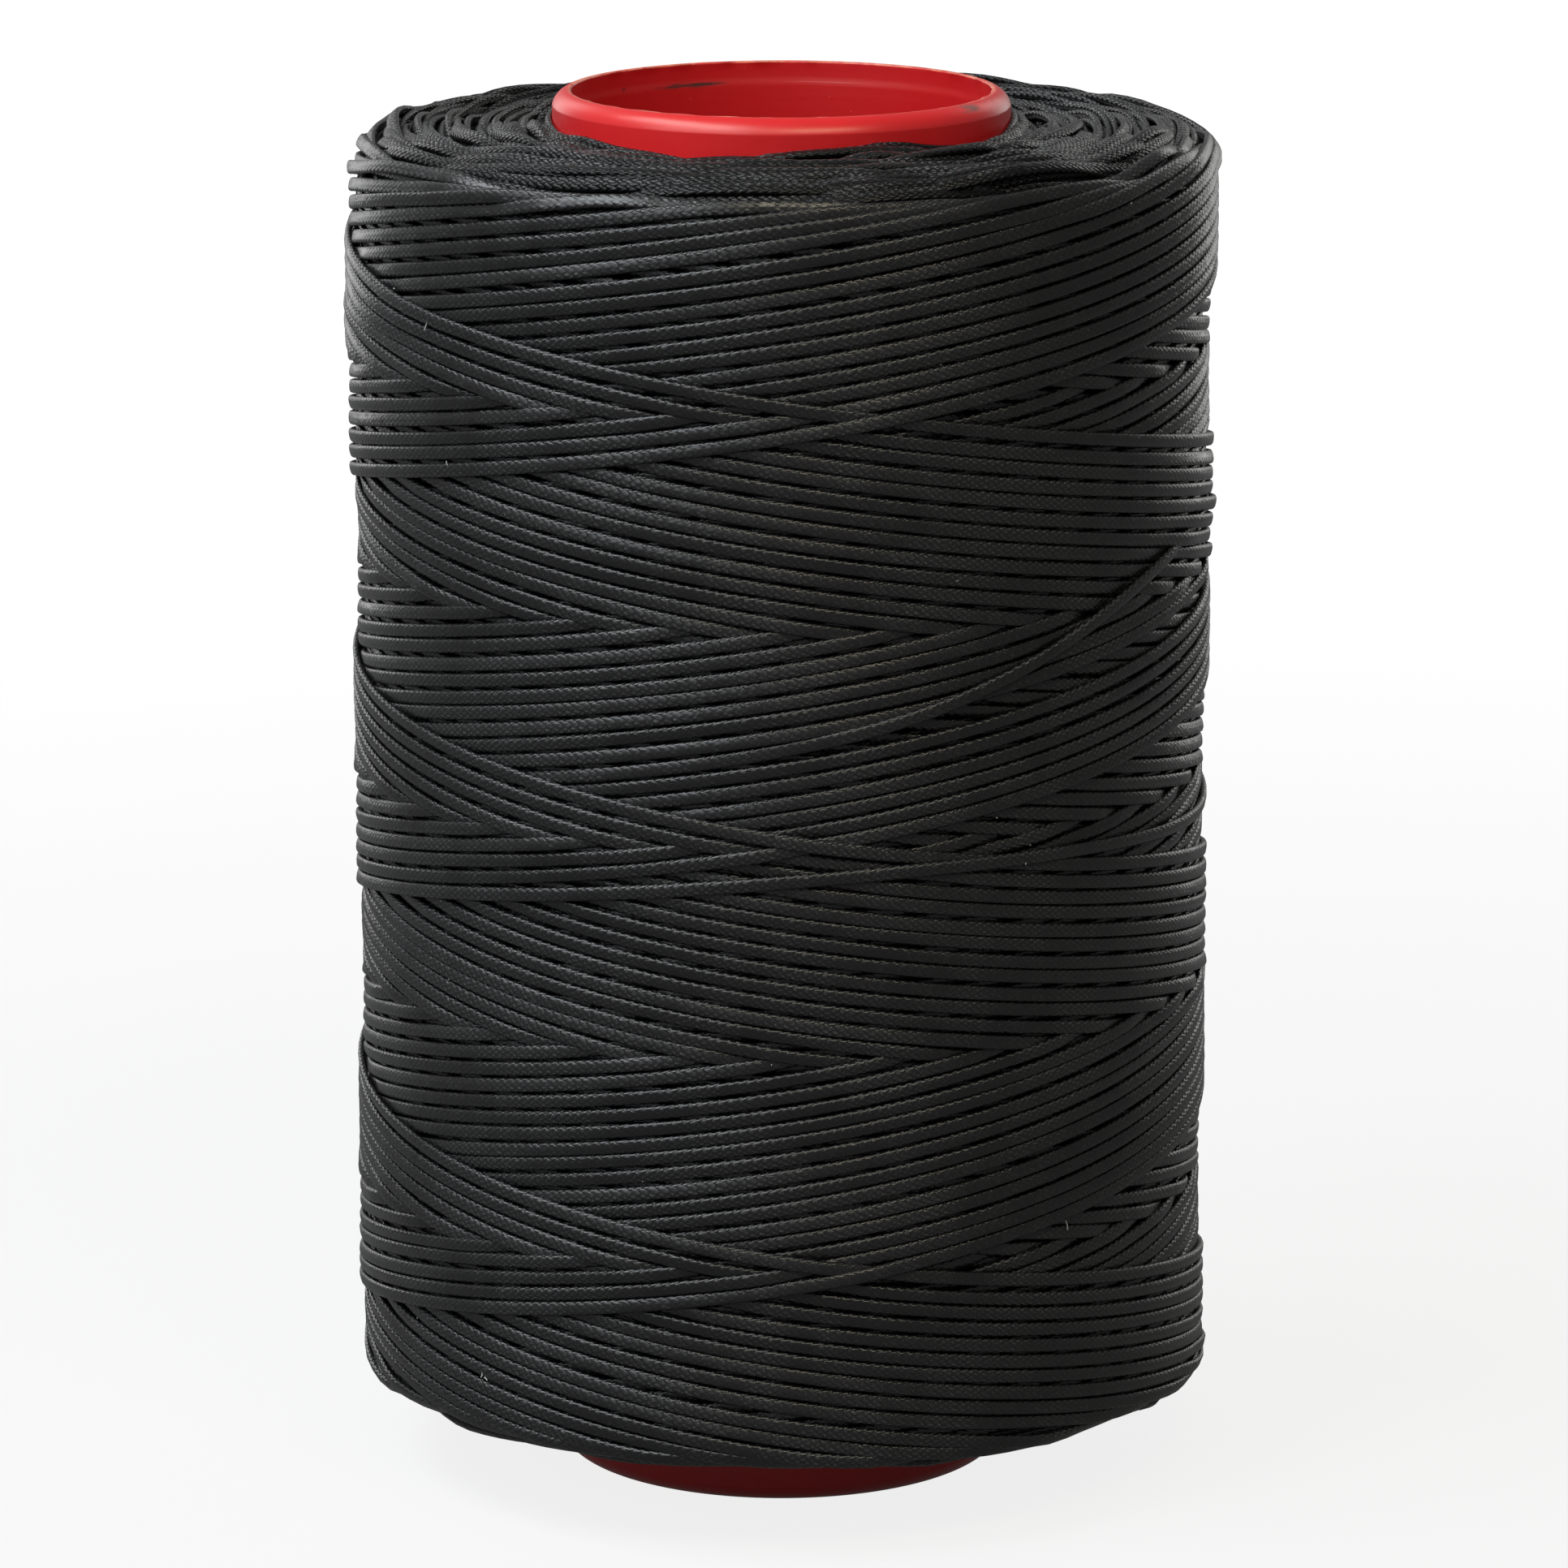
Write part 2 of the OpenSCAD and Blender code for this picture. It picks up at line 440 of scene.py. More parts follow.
@dataclass(frozen=True)
class BuriedThread:
    """The shaded thread under the turns that show.

    Attributes:
        name: The material's name.
        colour: Its colour.
        spacing: Spacing of its turns, in millimetres.
    """

    name: str = "buried_black_thread"
    colour: Colour = srgb(16, 16, 17)
    spacing: float = 1.58

    def material(self) -> bpy.types.Material:
        """Makes the material, with the ribs of the buried turns."""
        material, sheet, shader = new_material(self.name)
        spot = sheet.spot()
        turns = sheet.math("DIVIDE", sheet.split(spot)[2], self.spacing * MM)
        rib = sheet.math("ABSOLUTE", sheet.math("SINE", sheet.math("MULTIPLY", turns, math.pi)))
        grain = sheet.noise(spot, 1400.0)
        colour = sheet.blend(grain, srgb(8, 8, 8), self.colour)
        ribbed = sheet.bump(sheet.math("MULTIPLY_ADD", grain, 0.3, rib), 0.2)
        looks = {"Base Color": colour, "Roughness": 0.7, "Specular IOR Level": 0.3, "Normal": ribbed}
        sheet.fill(shader, looks)
        return material


@dataclass(frozen=True)
class TubeMark:
    """A mark on the tube: a rub or a smudge of dirt, and in one case a painted highlight line.

    Attributes:
        spot: Its middle, in millimetres.
        spread: Its half extents, in millimetres.
        colour: Its colour.
        strength: How much of it covers the plastic.
        grain: Scale of its breaks.
        broken: How broken it is, from about 0.35 for whole to 0.6 for a few dots.
    """

    spot: tuple[float, float, float]
    spread: tuple[float, float, float]
    colour: Colour
    strength: float = 0.8
    grain: float = 900.0
    broken: float = 0.52


@dataclass(frozen=True)
class RedPlastic:
    """Glossy red moulded plastic with handling marks, painted shade in its bore and painted highlights at the
    inner rim edges and in the bore.

    Attributes:
        name: The material's name.
        colour: Its body colour.
        rough: Roughness of the clean gloss.
        rims: Heights of the rims, in millimetres.
        lip: Radius out to which their inner edge is pale from wear and carries a painted highlight, in
            millimetres.
        bore: Radius of the bore, in millimetres.
        bore_shade: Tone of the painted shade in the bore, as a share of the body colour.
        tube_marks_and_highlight: Marks on it; one of them is a painted highlight line.
    """

    name: str = "red_moulded_plastic"
    colour: Colour = srgb(224, 31, 37)
    rough: float = 0.34
    rims: tuple[float, float] = (0.0, 136.3)
    lip: float = 20.84
    bore: float = 20.3
    bore_shade: float = 0.74
    tube_marks_and_highlight: tuple[TubeMark, ...] = ()

    def inside(self, sheet: NodeSheet, spot: Socket) -> Socket:
        """Builds the mask of the bore, where the shade is painted."""
        off_axis = sheet.length(sheet.scaled(spot, (1.0, 1.0, 0.0)))
        return sheet.between(off_axis, (self.bore + 0.1) * MM, (self.bore + 0.2) * MM, 1.0, 0.0)

    def rub_and_highlight(self, sheet: NodeSheet, spot: Socket) -> Socket:
        """Builds the mask of the pale inner edges of the rims, part wear and part painted highlight.

        Args:
            sheet: The material's sheet.
            spot: Object coordinates.

        Returns:
            How much of the pale wear and painted highlight shows, 0 to 1.
        """
        x, y, z = sheet.split(spot)
        off_axis = sheet.math("POWER", sheet.math("MULTIPLY_ADD", x, x, sheet.math("MULTIPLY", y, y)), 0.5)
        near = sheet.between(off_axis, (self.lip - 0.2) * MM, (self.lip + 0.06) * MM, 1.0, 0.0)
        middle = (self.rims[0] + self.rims[1]) / 2.0
        reach = self.rims[1] - middle
        off_middle = sheet.math("ABSOLUTE", sheet.math("SUBTRACT", z, middle * MM))
        edge = sheet.between(off_middle, (reach - 0.2) * MM, (reach - 0.04) * MM, 0.0, 1.0)
        wear_and_glint = sheet.between(sheet.noise(spot, 380.0, 4.0, 0.7), 0.4, 0.62, 0.15, 0.9)
        return sheet.math("MULTIPLY", sheet.math("MULTIPLY", near, edge), wear_and_glint)

    def cover(self, sheet: NodeSheet, spot: Socket, tube_mark: TubeMark) -> Socket:
        """Builds the mask of one scuff.

        Args:
            sheet: The material's sheet.
            spot: Object coordinates.
            tube_mark: The scuff.

        Returns:
            How much of the scuff shows, 0 to 1.
        """
        middle, spread = (tuple(part * MM for part in place) for place in (tube_mark.spot, tube_mark.spread))
        aside = sheet.put("ShaderNodeVectorMath", {0: spot, 1: middle}, operation="SUBTRACT")
        share = sheet.put("ShaderNodeVectorMath", {0: aside, 1: spread}, operation="DIVIDE")
        inside = sheet.between(sheet.length(share), 0.35, 1.0, 1.0, 0.0)
        streaks = sheet.noise(sheet.scaled(spot, (0.35, 0.35, 2.2)), tube_mark.grain, 4.0, 0.65)
        broken = sheet.between(streaks, tube_mark.broken - 0.08, tube_mark.broken + 0.08, 0.0, 1.0)
        return sheet.math("MULTIPLY", sheet.math("MULTIPLY", inside, broken), tube_mark.strength)

    def material(self) -> bpy.types.Material:
        """Makes the material.

        Returns:
            The finished material.
        """
        material, sheet, shader = new_material(self.name)
        spot = sheet.spot()
        mottle = sheet.between(sheet.noise(spot, 70.0, 3.0), 0.3, 0.7, 0.0, 1.0)
        dark = tuple(part * 0.88 for part in self.colour)
        colour = sheet.blend(mottle, dark, self.colour)
        # Painted shade: the bore is darker than the body colour.
        bore_shade = tuple(part * self.bore_shade for part in self.colour)
        colour = sheet.blend(self.inside(sheet, spot), colour, bore_shade)
        dust = sheet.between(sheet.noise(spot, 2600.0, 2.0, 0.6), 0.735, 0.76, 0.0, 0.7)
        colour = sheet.blend(dust, colour, srgb(232, 120, 96))
        # Inner edges of the rims: pale wear with a painted highlight.
        colour = sheet.blend(self.rub_and_highlight(sheet, spot), colour, srgb(240, 150, 122))
        marks: Any = 0.0
        for tube_mark in self.tube_marks_and_highlight:
            mask = self.cover(sheet, spot, tube_mark)
            colour = sheet.blend(mask, colour, tube_mark.colour)
            marks = sheet.math("MAXIMUM", marks, mask)
        handled = sheet.noise(sheet.scaled(spot, (1.0, 1.0, 9.0)), 160.0, 4.0, 0.6)
        gloss = sheet.math("MULTIPLY_ADD", handled, 0.16, self.rough - 0.08)
        fine = sheet.math("MULTIPLY_ADD", sheet.noise(spot, 900.0, 3.0, 0.6), 0.5, handled)
        looks = {
            "Base Color": colour,
            "Roughness": sheet.math("MULTIPLY_ADD", marks, 0.3, gloss),
            "Specular IOR Level": 0.7,
            "Specular Tint": (1.0, 0.94, 0.85, 1.0),
            "Subsurface Weight": 0.06,
            "Subsurface Radius": (0.0014, 0.0003, 0.0002),
            "Normal": sheet.bump(fine, 0.02, 0.5),
        }
        sheet.fill(shader, looks)
        return material


@dataclass(frozen=True)
class PaleLint:
    """Specks of pale lint and wax dust caught on the thread.

    Attributes:
        name: The material's name.
        colour: Its lightest colour.
    """

    name: str = "pale_lint"
    colour: Colour = srgb(226, 228, 226)

    def material(self) -> bpy.types.Material:
        """Makes the material, a little uneven in tone."""
        material, sheet, shader = new_material(self.name)
        colour = sheet.blend(sheet.noise(sheet.spot(), 300.0), srgb(150, 150, 148), self.colour)
        sheet.fill(shader, {"Base Color": colour, "Roughness": 0.8})
        return material


@dataclass(frozen=True)
class PaleFloor:
    """White studio floor that shows the background's white and keeps the shadow.

    Attributes:
        name: The material's name.
        tone: The floor's own tone, which throws light back at the spool.
        glow: White added to what the camera sees of it beside the spool; further off it is full white.
        reflected: Share of that white that shows in reflections.
    """

    name: str = "pale_floor"
    tone: float = 0.1
    glow: float = 0.84
    reflected: float = 0.12

    def material(self) -> bpy.types.Material:
        """Makes the material.

        Returns:
            The finished material.
        """
        material = bpy.data.materials.new(self.name)
        material.use_nodes = True
        sheet = NodeSheet(material.node_tree)
        lit = sheet.put("ShaderNodeBsdfDiffuse", {"Color": (self.tone, self.tone, self.tone, 1.0)})
        glow = sheet.between(sheet.length(sheet.spot()), 0.1, 0.7, self.glow, 1.0)
        strength = sheet.math("MULTIPLY", sheet.seen(self.reflected), glow)
        white = sheet.put("ShaderNodeEmission", {"Color": WHITE, "Strength": strength})
        both = sheet.put("ShaderNodeAddShader", {0: lit, 1: white})
        sheet.fill(sheet.add("ShaderNodeOutputMaterial"), {"Surface": both})
        return material


# ---------------------------------------------------------------- geometry nodes


class SweepTree:
    """Geometry Nodes tree that sweeps the thread's flat section along laid lines."""

    INPUTS: tuple[tuple[str, str], ...] = (
        ("Thread Width", "NodeSocketFloat"),
        ("Thread Thickness", "NodeSocketFloat"),
        ("Section Sides", "NodeSocketInt"),
        ("Section Squareness", "NodeSocketFloat"),
        ("Finish", "NodeSocketMaterial"),
    )

    def __init__(self) -> None:
        """Builds the tree."""
        tree = bpy.data.node_groups.new("sweep_flat_thread", "GeometryNodeTree")
        tree.interface.new_socket("Geometry", in_out="INPUT", socket_type="NodeSocketGeometry")
        tree.interface.new_socket("Geometry", in_out="OUTPUT", socket_type="NodeSocketGeometry")
        self.sockets = {
            name: tree.interface.new_socket(name, in_out="INPUT", socket_type=kind).identifier
            for name, kind in self.INPUTS
        }
        self.tree = tree
        self._wire(NodeSheet(tree))

    def _wire(self, sheet: NodeSheet) -> None:
        """Adds the nodes: lines to curves, section, sweep, texture place and finish."""
        given = sheet.add("NodeGroupInput").outputs
        curve = sheet.put("GeometryNodeMeshToCurve", {"Mesh": given["Geometry"]})
        outward = self._carried(sheet, "outward", "FLOAT_VECTOR")
        turned = sheet.put("GeometryNodeSetCurveNormal", {"Curve": curve, "Normal": outward}, mode="FREE")
        girth = self._carried(sheet, "girth")
        sized = sheet.put("GeometryNodeSetCurveRadius", {"Curve": turned, "Radius": girth})
        parts = {"Curve": sized, "Profile Curve": self._section(sheet, given), "Fill Caps": True}
        sweep = sheet.put("GeometryNodeCurveToMesh", parts)
        run, beside = self._carried(sheet, "run"), self._carried(sheet, "round")
        place = sheet.put("ShaderNodeCombineXYZ", {0: run, 1: beside})
        mapped = self._stored(sheet, sweep, "UVMap", place, "FLOAT2", "CORNER")
        smooth = sheet.put("GeometryNodeSetShadeSmooth", {"Geometry": mapped})
        finish = sheet.put("GeometryNodeSetMaterial", {"Geometry": smooth, "Material": given["Finish"]})
        real = sheet.put("GeometryNodeRealizeInstances", {"Geometry": finish})
        sheet.fill(sheet.add("NodeGroupOutput"), {0: real})

    def _section(self, sheet: NodeSheet, given: Any) -> Socket:
        """Builds the thread's section and marks each point's place round it.

        Args:
            sheet: The tree's sheet.
            given: Sockets of the tree's inputs, by name.

        Returns:
            The section's socket, as a closed curve whose places run from -1 to 1.
        """
        sides = {"Resolution": given["Section Sides"], "Radius": 1.0}
        circle = sheet.put("GeometryNodeCurvePrimitiveCircle", sides, mode="RADIUS")
        x, y, _ = sheet.split(sheet.add("GeometryNodeInputPosition").outputs[0])

        def squared(axis: Socket, extent: Socket) -> Socket:
            """Pushes a point of the circle towards a rounded rectangle of an extent."""
            size = sheet.math("POWER", sheet.math("ABSOLUTE", axis), given["Section Squareness"])
            signed = sheet.math("MULTIPLY", size, sheet.math("SIGN", axis))
            return sheet.math("MULTIPLY", signed, sheet.math("MULTIPLY", extent, 0.5))

        out, across = squared(x, given["Thread Thickness"]), squared(y, given["Thread Width"])
        point = sheet.put("ShaderNodeCombineXYZ", {0: out, 1: across})
        section = sheet.put("GeometryNodeSetPosition", {"Geometry": circle, "Position": point})
        share = sheet.add("GeometryNodeSplineParameter").outputs["Factor"]
        signed = sheet.math("SUBTRACT", share, sheet.math("GREATER_THAN", share, 0.5001))
        return self._stored(sheet, section, "round", sheet.math("MULTIPLY", signed, 2.0), "FLOAT", "POINT")

    @staticmethod
    def _carried(sheet: NodeSheet, name: str, kind: str = "FLOAT") -> Socket:
        """Reads a named attribute of the geometry and returns its socket."""
        return sheet.put("GeometryNodeInputNamedAttribute", {"Name": name}, data_type=kind)

    @staticmethod
    def _stored(
        sheet: NodeSheet, geometry: Socket, name: str, value: Socket, kind: str, domain: str
    ) -> Socket:
        """Stores a value on a geometry as a named attribute and returns the geometry's socket."""
        inputs = {"Geometry": geometry, "Name": name, "Value": value}
        return sheet.put("GeometryNodeStoreNamedAttribute", inputs, data_type=kind, domain=domain)


def linked(name: str, data: bpy.types.ID) -> bpy.types.Object:
    """Makes an object of a mesh, a lamp or a camera and puts it into the scene."""
    thing = bpy.data.objects.new(name, data)
    bpy.context.scene.collection.objects.link(thing)
    return thing


def evaluated(
    lines: bpy.types.Object, tree: bpy.types.NodeTree, values: dict[str, Any], name: str
) -> bpy.types.Object:
    """Runs a Geometry Nodes tree on an object and keeps the result as a plain mesh.

    Args:
        lines: The object that carries the input; it is deleted.
        tree: The tree to run.
        values: Input values by socket identifier.
        name: Name of the resulting object.

    Returns:
        A plain mesh object at the origin.
    """
    modifier = lines.modifiers.new("shape", "NODES")
    modifier.node_group = tree
    for identifier, value in values.items():
        modifier[identifier] = value
    depsgraph = bpy.context.evaluated_depsgraph_get()
    mesh = bpy.data.meshes.new_from_object(lines.evaluated_get(depsgraph), depsgraph=depsgraph)
    spent = lines.data
    bpy.data.objects.remove(lines)
    bpy.data.meshes.remove(spent)
    mesh.name = name
    return linked(name, mesh)


def mesh_object(
    name: str, points: Row, faces: Sequence[Sequence[int]], material: bpy.types.Material
) -> bpy.types.Object:
    """Makes a smooth mesh object at the origin.

    Args:
        name: Its name.
        points: Points in metres, one per row.
        faces: Corners of each face.
        material: Its finish.

    Returns:
        The object.
    """
    mesh = bpy.data.meshes.new(name)
    mesh.from_pydata(points.tolist(), [], faces)
    mesh.materials.append(material)
    mesh.shade_smooth()
    mesh.update()
    return linked(name, mesh)


def revolved(profile: Row, segments: int) -> tuple[Row, list[tuple[int, int, int, int]]]:
    """Turns a closed profile about the vertical axis.

    Args:
        profile: Corners as (radius, height), anticlockwise with radius to the right.
        segments: Steps round the axis.

    Returns:
        Points in metres, station by station, and faces that point outwards.
    """
    count = len(profile)
    turn = np.arange(segments) * 2.0 * math.pi / segments
    points = np.stack(
        [
            np.outer(np.cos(turn), profile[:, 0]),
            np.outer(np.sin(turn), profile[:, 0]),
            np.broadcast_to(profile[:, 1], (segments, count)),
        ],
        axis=-1,
    ).reshape(-1, 3)
    faces = []
    for step in range(segments):
        here, there = step * count, (step + 1) % segments * count
        for corner in range(count):
            after = (corner + 1) % count
            faces.append((here + corner, there + corner, there + after, here + after))
    return points * MM, faces


# ---------------------------------------------------------------- the package


@dataclass(frozen=True)
class FlatThread:
    """The thread itself: a flat tubular braid.

    Attributes:
        width: Its width lying flat.
        thickness: Its thickness.
        crushed: Share of the thickness that is left where strands cross.
        squareness: Shape of its section, 1 for an ellipse, less for a rounded bar.
    """

    width: float = 1.37
    thickness: float = 0.66
    crushed: float = 0.7
    squareness: float = 0.76


@dataclass(frozen=True)
class PackageForm:
    """Outer shape of the wound package, and how places on it are named.

    A place is a distance run along the outline, from the tube over the upper face,
    down the wall and back to the tube under the lower face, and a depth below it.

    Attributes:
        radius: Radius of the wall at its waist.
        flare: How much wider the wall is near the upper face than at its waist.
        waist: Height of the waist.
        upper: Height of the upper face.
        lower: Height of the lower face.
        shoulder: Radius of the upper shoulder.
        edge: Radius of the lower edge.
        tube: Outer radius of the winding tube.
    """

    radius: float = 41.9
    flare: float = 0.55
    waist: float = 56.0
    upper: float = 133.4
    lower: float = 8.5
    shoulder: float = 5.0
    edge: float = 2.2
    tube: float = 22.25

    @property
    def marks(self) -> tuple[float, float, float, float, float]:
        """Distances at which the upper face, shoulder, wall, edge and lower face end."""
        face = self.radius - self.shoulder - self.tube
        over = face + self.shoulder * math.pi / 2.0
        wall = over + (self.upper - self.shoulder) - (self.lower + self.edge)
        under = wall + self.edge * math.pi / 2.0
        return face, over, wall, under, under + self.radius - self.edge - self.tube

    def at_height(self, height: Row) -> Row:
        """Distance along the outline of a height on the wall, run on past both its ends."""
        return self.marks[1] + (self.upper - self.shoulder) - height

    def slant(self, run: Row) -> Row:
        """Angle of the outward direction above the horizontal, in radians."""
        face, over, wall, under, _ = self.marks
        half = math.pi / 2.0
        upper = half * (1.0 - (run - face) / (over - face))
        lower = -half * (run - wall) / (under - wall)
        return np.where(run < over, np.clip(upper, 0.0, half), np.clip(lower, -half, 0.0))

    def place(self, run: Row, depth: Row) -> tuple[Row, Row]:
        """Radius and height of places on the package.

        Args:
            run: Distances along the outline.
            depth: Depths below it.

        Returns:
            Radius and height of each place.
        """
        face, over, wall, under, end = self.marks
        slant = self.slant(run)
        centre_r = np.where(run < over, self.radius - self.shoulder, self.radius - self.edge)
        centre_z = np.where(run < over, self.upper - self.shoulder, self.lower + self.edge)
        size = np.where(run < over, self.shoulder, self.edge)
        on_wall = (run >= over) & (run <= wall)
        radius = np.where(on_wall, self.radius, centre_r + size * np.cos(slant))
        height = np.where(on_wall, self.upper - self.shoulder - (run - over), centre_z + size * np.sin(slant))
        radius = np.where(run < face, self.tube + run, radius)
        radius = np.where(run > under, self.tube + end - run, radius)
        swell = self.flare * ((height - self.waist) / (self.upper - self.shoulder - self.waist)) ** 2
        radius = radius + swell * np.cos(slant) ** 2 - depth * np.cos(slant)
        return radius, height - depth * np.sin(slant)


@dataclass
class Strand:
    """One laid stretch of thread.

    Attributes:
        middle: Points along its middle, in millimetres.
        outward: Direction of its flat side at each point.
        run: Distance along the thread at each point.
        girth: Size of its section at each point, about 1.
    """

    middle: Row
    outward: Row
    run: Row
    girth: Row

    @classmethod
    def through(cls, turn: Row, radius: Row, height: Row, tilt: Row, start: float, girth: Row) -> "Strand":
        """Makes a strand from places round the axis.

        Args:
            turn: Angles round the axis, in degrees.
            radius: Radius at each.
            height: Height at each.
            tilt: Angle of the flat side above the horizontal, in radians.
            start: Distance along the thread at the first place.
            girth: Size of the section at each.

        Returns:
            The strand.
        """
        angle = np.radians(turn)
        middle = np.stack([radius * np.cos(angle), radius * np.sin(angle), height], axis=-1)
        steps = np.linalg.norm(np.diff(middle, axis=0), axis=-1)
        run = start + np.concatenate([[0.0], np.cumsum(steps)])
        facing = np.stack([np.cos(tilt) * np.cos(angle), np.cos(tilt) * np.sin(angle), np.sin(tilt)], axis=-1)
        along = unit(np.gradient(middle, axis=0))
        outward = unit(facing - (facing * along).sum(-1, keepdims=True) * along)
        return cls(middle, outward, run, girth)

    def part(self, first: int, last: int) -> "Strand":
        """A stretch of the strand, from one point to another."""
        pick = slice(first, last + 1)
        return Strand(self.middle[pick], self.outward[pick], self.run[pick], self.girth[pick])


@dataclass(frozen=True)
class Wander:
    """A stretch where the guide ran ahead or behind.

    Attributes:
        turn: Where it is, in degrees of winding before the end.
        spread: How far it reaches to each side, in degrees.
        rise: How far the strand lies off its line, in millimetres.
    """

    turn: float
    spread: float
    rise: float


@dataclass(frozen=True)
class Guide:
    """The winder's guide, followed back from the end of the winding.

    Attributes:
        lead: Rise of the guide in one turn.
        stroke: Turn of the package in one stroke of the guide, in degrees.
        reverse: Turn over which the guide slows down at each end, in degrees.
        low: Lowest place of the strand.
        finish: Angle round the package at which the winding ended, in degrees.
        creep: How much higher the upper reversals were, one double stroke before.
        wanders: Stretches where the guide was off its line.
    """

    lead: float = 41.0
    stroke: float = 1086.95
    reverse: float = 20.0
    low: float = 9.3
    finish: float = 108.95
    creep: float = 0.06
    wanders: tuple[Wander, ...] = (Wander(457.0, 68.0, -12.0), Wander(15609.0, 38.0, 7.7))

    @property
    def precession(self) -> float:
        """Advance of the pattern in one double stroke, in degrees."""
        return 2.0 * self.stroke % 360.0

    @property
    def cover(self) -> float:
        """Double strokes that cover the package once."""
        return 360.0 / self.precession

    def ramp(self, into: Row) -> Row:
        """Guide's travel from one end of a stroke, in degrees of turn, rounded at both ends."""
        soft = self.reverse
        near = into**2 / (2.0 * soft)
        far = self.stroke - soft - (self.stroke - into) ** 2 / (2.0 * soft)
        return np.where(into < soft, near, np.where(into > self.stroke - soft, far, into - soft / 2.0))

    def height(self, back: Row) -> Row:
        """Height of the strand on the wall.

        Args:
            back: Degrees of turn before the end of the winding.

        Returns:
            Height of the strand's middle, run on over the shoulder.
        """
        stroke = np.floor(back / self.stroke)
        share = self.ramp(back - stroke * self.stroke) / (self.stroke - self.reverse)
        share = np.where(stroke % 2 == 0, 1.0 - share, share)
        travel = self.lead / 360.0 * (self.stroke - self.reverse)
        upper = self.creep * back / (2.0 * self.stroke)
        height = self.low + share * travel + upper * share**3
        for wander in self.wanders:
            height = height + wander.rise * np.exp(-(((back - wander.turn) / wander.spread) ** 2))
        return height


